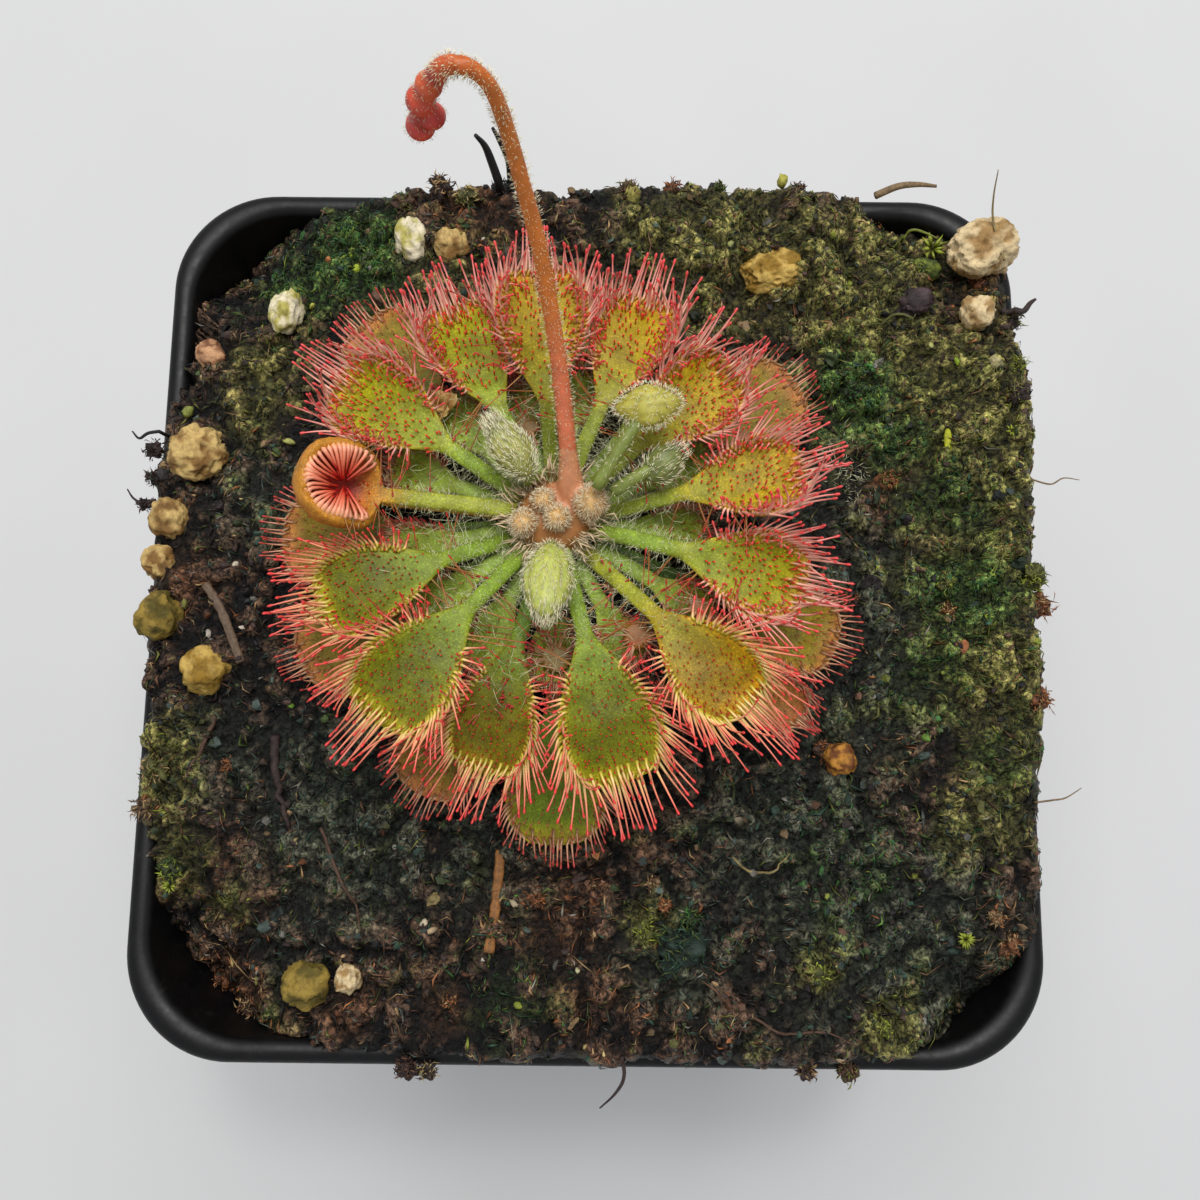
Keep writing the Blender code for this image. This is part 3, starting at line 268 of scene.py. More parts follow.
# Leaves, as in the part's source, with blades that are a little more like wedges
CROWN = np.array([-2.63, 5.14])
Leaf = namedtuple("Leaf", "name azimuth low reach high width rise fall arc twist spread lift palette")
UPPER_START = 3.85
LOWER_START = 3.6
FOOT_INSIDE = 0.9
UPPER_LEAVES = [
    Leaf("leaf_north", 94.0, 9.4, 19.0, 14.2, 7.5, 30, -14, 0.35, 6, 3.5, 46, "amber"),
    Leaf("leaf_north_north_east", 67.0, 12.0, 18.9, 12.2, 6.9, 18, -12, 0.30, -6, 3.5, 46, "amber"),
    Leaf("leaf_north_east", 39.7, 10.8, 17.9, 13.2, 6.9, 26, -12, 0.35, 8, 3.5, 46, "amber"),
    Leaf("leaf_east_north_east", 9.0, 9.4, 19.2, 14.2, 6.6, 30, -14, 0.40, -5, 3.5, 46, "amber"),
    Leaf("leaf_east", -16.2, 10.8, 20.0, 12.2, 7.0, 24, -10, 0.35, 6, 3.8, 35, "lime"),
    Leaf("leaf_south_east", -45.0, 9.4, 20.8, 13.6, 7.0, 30, -12, 0.45, 5, 4.8, 20, "orange"),
    Leaf("leaf_south", -75.0, 12.0, 21.0, 12.2, 8.1, 20, -16, 0.35, -6, 4.2, 30, "moss"),
    Leaf("leaf_south_south_west", -105.5, 9.3, 20.3, 9.0, 7.3, 16, -16, 0.30, 6, 4.0, 28, "dark"),
    Leaf("leaf_south_west", -129.2, 10.8, 20.5, 13.7, 7.7, 26, -12, 0.35, -8, 4.2, 30, "moss"),
    Leaf("leaf_west_south_west", -157.2, 9.3, 19.2, 12.2, 7.2, 28, -14, 0.35, 6, 3.8, 40, "moss"),
    Leaf("leaf_west", 174.0, 12.0, 19.6, 15.4, 8.2, 14, 62, 1.30, 0, 2.6, 0, "bowl"),
    Leaf("leaf_north_west", 147.8, 10.8, 20.0, 12.2, 7.4, 24, -12, 0.35, -6, 3.5, 46, "lime"),
    Leaf("leaf_north_north_west", 117.2, 12.0, 19.4, 10.8, 7.2, 8, -14, 0.35, 6, 3.5, 46, "lime"),
]
LOWER_LEAVES = [
    Leaf("lower_leaf_north_east", 33.7, 7.6, 24.0, 5.2, 7.6, 4, -6, 0.25, 0, 2.6, 22, "red"),
    Leaf("lower_leaf_east", -21.6, 7.6, 24.7, 4.8, 6.9, 2, -6, 0.25, 0, 2.6, 22, "brown"),
    Leaf("lower_leaf_south_east", -37.2, 6.3, 24.8, 6.2, 4.4, 8, -10, 0.60, 10, 2.6, 22, "dry"),
    Leaf("lower_leaf_south", -89.3, 7.6, 25.2, 4.8, 8.0, 2, -8, 0.30, 0, 2.6, 22, "green"),
    Leaf("lower_leaf_south_south_west", -116.5, 7.6, 23.8, 4.8, 7.2, 2, -8, 0.25, 0, 2.6, 22, "red"),
    Leaf("lower_leaf_west", -178.0, 7.6, 22.6, 5.4, 7.4, 4, -8, 0.25, 0, 2.6, 22, "red"),
    Leaf("lower_leaf_west_south_west", -152.0, 7.6, 23.4, 4.8, 7.3, 2, -8, 0.25, 0, 2.6, 22, "red"),
    Leaf("lower_leaf_north_west", 132.7, 7.6, 24.8, 5.2, 7.6, 4, -8, 0.25, 0, 2.6, 22, "red"),
    Leaf("lower_leaf_north", 80.0, 7.6, 21.6, 5.4, 7.2, 4, -8, 0.25, 0, 2.6, 22, "red"),
]
MIDRIB_PULL = 0.36
MIDRIB_POINTS = 61
STALK_HALF_WIDTH = 0.62
BLADE_LENGTH_RATIO = 1.42
WIDEST_SHARE = 0.68
TIP_POWER = 2.3
BARE_BASE = 0.55
WEDGE = 0.45
CUP_START = 0.05
FLAT_ARC = 0.02
TIP_ROW_WIDTH = 0.42
MARGIN_START = 0.22
MARGIN_SIDE = 0.44
STALK_ROWS = 12
BLADE_ROWS = 26
BLADE_COLUMNS = 16
BLADE_THICKNESS = 0.62
EDGE_THICKNESS = 0.16
STALK_BULGE = 0.34
BOWL_EDGE = 0.4
STEP_ALONG = 0.01
STEP_ACROSS = 0.03
RIDGES = 31
RIDGE_DEPTH = 0.05
WAVE_DEPTH = 0.16

# The west leaf's blade, rolled up into a bowl
BOWL_PLACE = 16.8
BOWL_RADIUS = 2.65
BOWL_REACH = 4.7
BOWL_INNER = 3.6
BOWL_OPENING = 34
BOWL_TENTACLES = 34

# Tentacles and glands of a leaf: how many, how long, and how each row further in differs
MARGIN_TENTACLES = 60
INNER_TENTACLES = 46
LOWER_TENTACLES = 52
UPPER_REACH = 0.86
LOWER_REACH = 0.52
CROSSING_TENTACLES = 16
THIRD_TENTACLES = 24
TENTACLE_SIDES = 4
TENTACLE_CLEAR = 0.35
CROSSING_CLEAR = 0.25
CROSSING_THICKNESS = 0.5
CROSSING_HEAD = 0.65
CROSSING_LIFTS = (0.0, 22.0, -18.0)
CROSSING_LENGTHS = (1.6, 4.0)
GLAND_CLEAR = 0.2
GLAND_EDGE = 0.93
GLAND_SHAPE = (0.6, 0.5, 1.0, 0.4)
GLAND_PLACES = (0.0, 0.4, 0.8, 1.0)
# Thickness and heads of each kind of tentacles, with the spacing, stalks, size and look of the glands
Dress = namedtuple("Dress", "thick head spacing low high size look")
DRESSES = {
    "pink_tentacle": Dress(0.9, 0.95, 0.5, 0.22, 0.6, 0.1, "gland"),
    "coral_tentacle": Dress(0.9, 0.95, 0.5, 0.15, 0.22, 0.085, "dark_gland"),
    "bowl_tentacle": Dress(1.7, 0.95, 0.5, 0.15, 0.22, 0.085, "dark_gland"),
    "pale_tentacle": Dress(0.75, 0.8, 0.7, 0.5, 0.6, 0.07, "pale_gland"),
}
TENTACLE_STEPS = 5
TENTACLE_TAPER = ([0, 0.2, 0.45, 1], [0.2, 0.15, 0.1, 0.062])
STALK_END = 0.76
HEAD_PLACES = (0.82, 0.88, 0.94, 1.0)
HEAD_STEPS = (0.12, 0.28, 0.42, 0.5)
HEAD_RADII = (0.09, 0.118, 0.1, 0.045)
CURLS = (-34, 44)
LIFTS = (-12, 12)
LENGTHS = (0.8, 1.12)
SIDE_CROWDING = 1.25
ROW_INSET = 0.12
ROW_LIFT = 24
ROW_SHORTER = 0.3
BENDS = [(0, 1), (14, 1), (-14, 1), (28, 0.9), (-28, 0.8), (42, 0.8), (10, 0.6), (34, 0.5)]

# Radius of the hairs of each kind
HAIR_RADII = {
    "fringe": 0.019, "lying": 0.024, "tangle": 0.018, "crown": 0.024, "young": 0.027,
    "young_stalk": 0.024, "flower_stalk": 0.02, "buds": 0.018, "mould": 0.022,
}
# Hairs: how many at the sides and on top of a leaf's stalk, between the stalks, and on the flower stalk
UPPER_PETIOLE_HAIRS = (150, 150)
LOWER_PETIOLE_HAIRS = (60, 30)
LOW_LEAF = 9
TANGLED_HAIRS = 1700
TANGLE_BENDS = ((0, 0), (0.33, 1), (0.7, 1), (1, 0))
STALK_HAIRS = 3000

# Small leaves and old curled ones under the open leaves
UNDER_AZIMUTHS = [24, 53, 81, 107, 133, 160, -3, -31, -60, -90, -119, -145, -169]
ROSETTES = [
    (3.9, -3.9, 10.4, 1.1), (2.0, 0.0, 10.6, 0.6), (-2.4, -5.6, 9.6, 1.2), (-7.6, -9.0, 9.4, 0.8),
    (8.6, -1.6, 10.2, 0.8), (-10.2, -4.0, 9.8, 0.8), (6.2, -8.4, 9.8, 0.8), (-4.6, 12.6, 10.4, 0.7),
]
DRIED_LEAF = (-12.2, 14.2, 11.2)
DRIED_LEAF_SIZE = (1.5, 1.1, 0.3)

# Young leaves, flower stalk and buds, as in the part's source
Bud = namedtuple("Bud", "name x y height azimuth pitch length width thickness stalk hairs")
YOUNG_LEAVES = [
    Bud("young_leaf_south", -2.8, -0.5, 15.4, -92, 24, 6.4, 3.5, 2.4, (-2.7, 2.5, 13.0), 1000),
    Bud("young_leaf_north_west", -5.7, 9.3, 15.6, 128, 26, 5.6, 3.3, 2.4, (-4.5, 7.5, 12.9), 950),
    Bud("young_leaf_north_east", 4.4, 12.2, 17.2, 4, 8, 5.4, 3.6, 2.3, (0.6, 6.5, 15.2), 640),
    Bud("young_leaf_east", 5.6, 8.5, 14.9, 40, 6, 4.0, 3.0, 2.0, (1.95, 6.5, 14.2), 260),
]
# Body colour of each young leaf, and the lighter colour painted on its upper side as painted light.
YOUNG_COLOURS = {
    "young_leaf_south": ((150, 165, 60), (196, 200, 104)),
    "young_leaf_north_west": ((132, 138, 66), (178, 178, 96)),
    "young_leaf_north_east": ((156, 148, 50), (188, 180, 78)),
    "young_leaf_east": ((92, 108, 50), (118, 126, 62)),
}
YOUNG_SIZES = {"young_leaf_south": 1.0, "young_leaf_north_west": 0.86, "young_leaf_north_east": 0.9,
               "young_leaf_east": 0.86}
PAD = "young_leaf_north_east"
PAD_POWER = 1.45
YOUNG_STALK_HAIRS = 110
CROWN_SIZE = 0.88
# Fringe of hairs and papery scales round the crown: how many, lengths, radius and lowest height
CROWN_FRINGE = (700, (0.5, 1.5), 0.022, 9.0)
CROWN_SCALES = (260, (1.0, 2.6), 0.085, 11.0)
CROWN_TOP = 12.6
CROWN_SIDES = 24
CROWN_VOXEL, CROWN_SMOOTHING = 0.26, 4
BUD_VOXEL, BUD_SMOOTHING = 0.11, 6
CROWN_PROFILE = [
    (1.6, 12.8), (2.8, 12.3), (3.4, 11.2), (3.4, 8.4), (3.0, 6.6), (2.4, 3.0), (1.8, -3.0), (0.8, -7.0),
]
CROWN_BUDS = [
    (0.2, 5.9, 13.0, 1.5), (-4.9, 4.3, 12.9, 1.15), (-2.3, 4.6, 13.4, 1.05), (-3.4, 6.0, 13.3, 0.95),
]
STALK_FOOT = (-1.6, 6.2, 10.8)
STALK_ROUTE = [
    (-1.35, 7.5, 12.95), (-1.9, 13.1, 18.0), (-2.5, 16.7, 22.0), (-3.2, 19.8, 26.5), (-4.0, 21.8, 30.5),
    (-4.8, 23.5, 34.5), (-5.5, 24.3, 37.5), (-6.6, 24.6, 39.0), (-7.8, 24.7, 39.1), (-8.6, 24.8, 38.2),
]
FLOWER_BUDS = [
    (-9.2, 24.85, 37.0, 0.85), (-9.9, 24.8, 35.5, 0.95), (-9.4, 24.6, 34.2, 0.85),
    (-10.3, 24.7, 33.0, 0.95),
]
BUD_LOBES = [
    ((-8.5, 24.8, 38.3), (-9.6, 24.8, 36.0), 0.66), ((-9.6, 24.8, 36.0), (-10.3, 24.7, 33.4), 0.7),
]
BUD_HAIRS = 420
STALK_STEPS = 90
STALK_TAPER = ([0, 0.06, 0.25, 0.74, 1], [0.82, 0.7, 0.6, 0.46, 0.62])
STALK_PLACES = [0.0, 0.08, 0.2, 0.34, 0.6, 0.86, 1.0]
STALK_SHADES = [
    (196, 140, 84), (222, 130, 88), (224, 122, 84), (214, 122, 44), (198, 114, 34), (200, 100, 38),
    (200, 82, 56),
]

# Grains and twigs, as in the part's source, each grain with its look
Grain = namedtuple("Grain", "name x y height width depth tall turn look")
GRAINS = [
    Grain("perlite_01", -33.4, 12.1, 3.6, 4.9, 4.7, 4.2, 10, "tan"),
    Grain("perlite_02", -35.4, 6.6, 3.5, 3.4, 3.6, 3.0, 40, "tan"),
    Grain("perlite_03", -36.2, 2.9, 3.0, 2.8, 2.8, 2.4, 0, "tan"),
    Grain("perlite_04", -35.7, -1.8, 3.5, 4.1, 3.8, 3.4, 70, "mossy"),
    Grain("perlite_05", -31.5, -6.2, 3.6, 4.0, 4.0, 3.6, 20, "yellow"),
    Grain("perlite_06", -15.9, 31.7, 3.6, 2.8, 3.9, 3.0, 15, "white"),
    Grain("perlite_07", -12.3, 31.3, 3.8, 3.1, 3.1, 2.8, 30, "tan"),
    Grain("perlite_08", -26.9, 25.7, 2.2, 2.8, 3.9, 2.8, -10, "white"),
    Grain("perlite_09", 15.6, 28.9, 3.9, 5.2, 3.8, 3.4, 5, "yellow"),
    Grain("perlite_10", 34.3, 31.6, 3.1, 6.4, 5.2, 4.6, 12, "cream"),
    Grain("perlite_11", 33.4, 25.6, 3.6, 3.1, 3.0, 2.8, 50, "cream"),
    Grain("perlite_12", 20.9, -13.0, 2.6, 2.7, 2.7, 2.4, 0, "orange"),
    Grain("perlite_13", -22.6, -31.5, 0.9, 3.9, 3.9, 3.2, 35, "mossy"),
    Grain("perlite_14", -19.2, -31.0, 1.0, 2.2, 2.4, 2.2, 0, "cream"),
    Grain("perlite_15", -33.8, 22.0, 0.9, 2.7, 2.7, 2.4, 60, "pink"),
    Grain("green_pebble", 29.5, 30.4, 1.3, 3.1, 2.2, 2.0, 0, "green"),
    Grain("bark_chip", 28.5, 27.1, 2.3, 3.1, 2.6, 1.8, 25, "bark"),
]
GRAIN_ROUGHNESS = 0.16
GRAIN_LUMPS = 1.6
PIT_DEPTH = 0.3
FLAT_DEPTH = 0.1
FINE_DEPTH = 0.07
LARGE_GRAIN = 4.2
Twig = namedtuple("Twig", "name route lift radius")
TWIGS = [
    Twig("twig_front", [(-6.9, -20.6), (-7.2, -24.6), (-7.6, -28.6)], 0.35, 0.5),
    Twig("twig_left", [(-31.9, 0.9), (-30.4, -1.4), (-28.6, -5.6)], 0.45, 0.45),
]
TWIG_STEPS = 40
TWIG_SIDES = 12
GROOVE_SHADE = 0.3
TWIG_TONES = {"twig_front": (172, 116, 62), "twig_left": (126, 104, 84)}

# Studio: half width of the floor, the surrounding's colour and strength, and the soft lights
FLOOR_HALF = 1.5
AIR_COLOUR = (0.93, 0.96, 1.0, 1.0)
AIR_STRENGTH = 0.45
LIGHT_AIM = (0, 0, 0.07)
Light = namedtuple("Light", "name place size power colour")
LIGHTS = [
    Light("key", (0.0, 0.2, 0.62), 0.45, 2.6, (1.0, 0.98, 0.95)),
    Light("spark", (0.05, 0.12, 0.5), 0.05, 0.35, (1.0, 1.0, 1.0)),
]


def paint(red, green, blue):
    """Linear colour of a display colour given from 0 to 255."""
    shares = np.array([red, green, blue]) / 255
    return np.where(shares <= 0.04045, shares / 12.92, ((shares + 0.055) / 1.055) ** 2.4)


# Colours of a leaf: stalk, face, margin, and which kind of tentacles it has
Palette = namedtuple("Palette", "stalk face edge tentacle")
PALETTES = {
    "amber": Palette(paint(150, 164, 60), paint(176, 152, 6), paint(216, 160, 44), "pink_tentacle"),
    "lime": Palette(paint(138, 162, 56), paint(156, 156, 8), paint(204, 172, 44), "pink_tentacle"),
    "moss": Palette(paint(132, 158, 52), paint(108, 112, 0), paint(166, 158, 24), "coral_tentacle"),
    "dark": Palette(paint(110, 140, 50), paint(112, 104, 4), paint(146, 118, 22), "coral_tentacle"),
    "orange": Palette(paint(160, 164, 54), paint(146, 118, 0), paint(224, 156, 10), "coral_tentacle"),
    "bowl": Palette(paint(160, 166, 60), paint(206, 90, 48), paint(200, 136, 44), "bowl_tentacle"),
    "red": Palette(paint(106, 132, 44), paint(138, 118, 34), paint(190, 118, 64), "pale_tentacle"),
    "brown": Palette(paint(90, 120, 46), paint(152, 134, 30), paint(204, 132, 60), "pale_tentacle"),
    "dry": Palette(paint(84, 102, 50), paint(160, 110, 50), paint(190, 104, 60), "pale_tentacle"),
    "green": Palette(paint(124, 154, 58), paint(112, 134, 22), paint(164, 146, 34), "pale_tentacle"),
    "fresh": Palette(paint(158, 184, 78), paint(146, 164, 50), paint(184, 172, 70), "pale_tentacle"),
}
GRAIN_COLOURS = {
    "tan": (paint(210, 178, 112), paint(136, 100, 50)),
    "yellow": (paint(206, 172, 90), paint(146, 112, 34)),
    "white": (paint(240, 228, 196), paint(186, 176, 90)),
    "cream": (paint(228, 204, 158), paint(166, 132, 82)),
    "orange": (paint(190, 132, 52), paint(110, 62, 26)),
    "mossy": (paint(158, 132, 56), paint(92, 80, 26)),
    "pink": (paint(206, 158, 116), paint(130, 84, 56)),
    "green": (paint(112, 122, 44), paint(60, 74, 24)),
    "bark": (paint(84, 64, 66), paint(46, 32, 34)),
}


# Numbers
def ease(value):
    """Smooth step from 0 to 1."""
    value = np.clip(value, 0.0, 1.0)
    return value * value * (3 - 2 * value)


def unit(vectors):
    """Vectors made one long."""
    vectors = np.asarray(vectors, float)
    return vectors / np.maximum(np.linalg.norm(vectors, axis=-1, keepdims=True), 1e-9)


def blend(first, second, share):
    """Colours between two, one for each share."""
    share = np.asarray(share, float)[..., None]
    return np.asarray(first) * (1 - share) + np.asarray(second) * share


def smooth_route(points, count):
    """Evenly numbered points on a smooth curve through the given ones."""
    points = np.asarray(points, float)
    ends = np.concatenate([[points[0] * 2 - points[1]], points, [points[-1] * 2 - points[-2]]])
    along = np.linspace(0, len(points) - 1, count)
    index = np.minimum(along.astype(int), len(points) - 2)
    t = (along - index)[:, None]
    a, b, c, d = (ends[index + step] for step in range(4))
    straight = 2 * b + (c - a) * t
    return 0.5 * (straight + (2 * a - 5 * b + 4 * c - d) * t ** 2 + (3 * b - a - 3 * c + d) * t ** 3)


def noise_at(places, scale=1.0, shift=(0, 0, 0)):
    """Noise at each place, after the places are scaled and shifted."""
    return np.array([noise.noise(Vector(place)) for place in np.asarray(places, float) * scale + shift])


def level_ways(angle, rise=0.0):
    """Ways at angles round the upright, each with its rise."""
    return np.stack([np.cos(angle), np.sin(angle), np.broadcast_to(rise, angle.shape)], axis=1)


def round_crown(angle, far, height):
    """Places round the crown at angles, distances and heights."""
    return np.stack([CROWN[0] + far * np.cos(angle), CROWN[1] + far * np.sin(angle), height], axis=1)


def draws(name, number=0):
    """Random draws of one kind of piece, the same in every run."""
    return np.random.default_rng(SEEDS[name] + number)


# Shapes
def give_tint(mesh, colours):
    """Put colours on a mesh's points."""
    for old in list(mesh.color_attributes):
        mesh.color_attributes.remove(old)
    tint = mesh.color_attributes.new("tint", "FLOAT_COLOR", "POINT")
    full = np.concatenate([colours, np.ones((len(colours), 1))], axis=1)
    tint.data.foreach_set("color", full.astype(np.float32).ravel())


def link_object(name, data):
    """New object in the scene."""
    made = bpy.data.objects.new(name, data)
    bpy.context.scene.collection.objects.link(made)
    return made


def apply_modifiers(piece):
    """Give a piece the mesh that its modifiers make of it."""
    bpy.context.view_layer.update()
    mesh = bpy.data.meshes.new_from_object(piece.evaluated_get(bpy.context.evaluated_depsgraph_get()))
    piece.modifiers.clear()
    piece.data = mesh
    return mesh


class Shape:
    """Points, faces, colours and map places of a piece that is being made."""

    def __init__(self):
        self.points, self.faces, self.tints, self.spots = [], [], [], []
        self.count = 0

    def add(self, points, faces, tint=(1.0, 1.0, 1.0), spot=(0.5, 0.5)):
        """Add points with their faces, each group of faces having equal numbers of corners."""
        points = np.asarray(points, float).reshape(-1, 3)
        self.points.append(points)
        self.faces += [np.asarray(group) + self.count for group in faces]
        self.tints.append(np.broadcast_to(np.asarray(tint, float).reshape(-1, 3), (len(points), 3)))
        self.spots.append(np.broadcast_to(np.asarray(spot, float).reshape(-1, 2), (len(points), 2)))
        self.count += len(points)

    def mesh(self, name):
        """Mesh in metres above the floor, with its colours as an attribute and its places on a map."""
        points = np.concatenate(self.points)
        groups = [group for group in self.faces if len(group)]
        corners = np.concatenate([group.ravel() for group in groups]).astype(np.int32)
        sizes = np.concatenate([np.full(len(group), group.shape[1]) for group in groups])
        mesh = bpy.data.meshes.new(name)
        mesh.vertices.add(len(points))
        mesh.vertices.foreach_set("co", ((points + (0, 0, POT_HEIGHT)) * MM).astype(np.float32).ravel())
        mesh.loops.add(len(corners))
        mesh.loops.foreach_set("vertex_index", corners)
        mesh.polygons.add(len(sizes))
        mesh.polygons.foreach_set("loop_start", (np.cumsum(sizes) - sizes).astype(np.int32))
        mesh.update(calc_edges=True)
        mesh.validate()
        give_tint(mesh, np.concatenate(self.tints))
        spots = np.concatenate(self.spots)
        layer = mesh.uv_layers.new(name="OFBake")
        layer.data.foreach_set("uv", spots[corners].astype(np.float32).ravel())
        mesh.shade_smooth()
        return mesh


def place_piece(name, shape, look, slot, *replaced, keep_map=False, flat=False):
    """Piece made of a shape, which rides on the pot and stands for the nodes it replaces."""
    mesh = shape.mesh(name)
    if flat:
        mesh.shade_flat()
    piece = link_object(name, mesh)
    mesh.materials.append(LOOKS[look])
    if not keep_map:
        mesh.uv_layers.remove(mesh.uv_layers[0])
    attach(piece, "root")
    if replaced:
        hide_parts(*replaced)
    return piece


def tubes(paths, radii, sides):
    """Closed round tubes along paths that all have the same number of points."""
    paths = np.asarray(paths, float)
    count, steps = paths.shape[:2]
    radii = np.broadcast_to(radii, (count, steps))
    ahead = unit(np.gradient(paths, axis=1))
    chord = unit(paths[:, -1] - paths[:, 0])
    helper = np.eye(3)[np.abs(chord).argmin(axis=1)]
    first = unit(np.cross(ahead, helper[:, None]))
    second = np.cross(ahead, first)
    turn = 2 * np.pi * np.arange(sides) / sides
    around = first[:, :, None] * np.cos(turn)[:, None] + second[:, :, None] * np.sin(turn)[:, None]
    points = paths[:, :, None] + around * radii[:, :, None, None]
    index = np.arange(count * steps * sides).reshape(count, steps, sides)
    low, high = index[:, :-1], index[:, 1:]
    walls = np.stack([low, np.roll(low, -1, 2), np.roll(high, -1, 2), high], axis=-1).reshape(-1, 4)
    ends = np.concatenate([index[:, 0, ::-1], index[:, -1]])
    return points.reshape(-1, 3), [walls, ends]


def strands(paths, radii):
    """Fine strands along paths of equally many points: pointed at both ends, three-sided between."""
    paths = np.asarray(paths, float)
    count = len(paths)
    ahead = unit(paths[:, -1] - paths[:, 0])
    first = unit(np.cross(ahead, np.eye(3)[np.abs(ahead).argmin(axis=1)]))
    second = np.cross(ahead, first)
    turn = 2 * np.pi * np.arange(3) / 3
    around = first[:, None] * np.cos(turn)[:, None] + second[:, None] * np.sin(turn)[:, None]
    around = around * np.broadcast_to(radii, count)[:, None, None]
    waists = paths[:, 1:-1, None] + around[:, None]
    points = np.concatenate([paths[:, :1], waists.reshape(count, -1, 3), paths[:, -1:]], axis=1)
    size = points.shape[1]
    rings = 1 + np.arange(size - 2).reshape(-1, 3)
    after = np.roll(rings, -1, axis=1)
    tips = [(0, b, a) for a, b in zip(rings[0], after[0])]
    tips += [(size - 1, a, b) for a, b in zip(rings[-1], after[-1])]
    walls = [(a, b, d, c) for low, nextlow, high, nexthigh in zip(rings, after, rings[1:], after[1:])
             for a, b, c, d in zip(low, nextlow, high, nexthigh)]
    shift = (np.arange(count) * size)[:, None, None]
    groups = [(np.array(group)[None] + shift).reshape(-1, len(group[0]))
              for group in (tips, walls) if group]
    return points.reshape(-1, 3), groups


def bent(starts, ends, bend, draw):
    """Paths of three points from starts to ends, with a random bend in the middle."""
    starts, ends = np.asarray(starts, float), np.asarray(ends, float)
    length = np.linalg.norm(ends - starts, axis=1, keepdims=True)
    middle = (starts + ends) / 2 + draw.normal(size=starts.shape) * length * bend
    return np.stack([starts, middle, ends], axis=1)


def spread(values, sides):
    """Values of each path's points, repeated for the points round its tube."""
    values = np.asarray(values, float)
    return np.repeat(values.reshape(-1, values.shape[-1]), sides, axis=0)


def ball(level):
    """Points and faces of a ball of radius 1 made of triangles."""
    shape = bmesh.new()
    bmesh.ops.create_icosphere(shape, subdivisions=level, radius=1.0)
    points = np.array([vertex.co[:] for vertex in shape.verts])
    faces = np.array([[vertex.index for vertex in face.verts] for face in shape.faces])
    shape.free()
    return points, faces


def blobs(centres, sizes, level, turns=None, rough=0.0, seed=0):
    """Balls or lumps at places, each with its size along its own three axes."""
    base, faces = ball(level)
    centres = np.asarray(centres, float)
    count = len(centres)
    points = np.broadcast_to(base, (count, *base.shape))
    points = points * (1 + rough * np.random.default_rng(seed).uniform(-1, 1, (count, len(base), 1)))
    points = points * np.asarray(sizes, float).reshape(count, 1, -1)
    if turns is not None:
        points = np.einsum("nij,nkj->nki", turns, points)
    points = points + centres[:, None]
    faces = faces[None] + (np.arange(count) * len(base))[:, None, None]
    return points.reshape(-1, 3), [faces.reshape(-1, 3)]


def random_turns(count, seed):
    """Random turns, as matrices."""
    draw = np.random.default_rng(seed)
    first = unit(draw.normal(size=(count, 3)))
    second = unit(np.cross(first, draw.normal(size=(count, 3))))
    return np.stack([first, second, np.cross(first, second)], axis=-1)


def grid_faces(rows, columns):
    """Faces of a grid of points, seen from above, and the points along its border."""
    index = np.arange(rows * columns).reshape(rows, columns)
    faces = np.stack([index[:-1, :-1], index[1:, :-1], index[1:, 1:], index[:-1, 1:]], axis=-1)
    border = np.concatenate([index[0, :-1], index[:-1, -1], index[-1, :0:-1], index[:0:-1, 0]])
    return faces.reshape(-1, 4), border


def loft_faces(rings, count):
    """Faces of a closed skin through rings of equally many points, with an end face at both ends."""
    index = np.arange(rings * count).reshape(rings, count)
    low, high = index[:-1], index[1:]
    walls = np.stack([low, np.roll(low, -1, 1), np.roll(high, -1, 1), high], axis=-1).reshape(-1, 4)
    return [walls, index[:1, ::-1], index[-1:]]


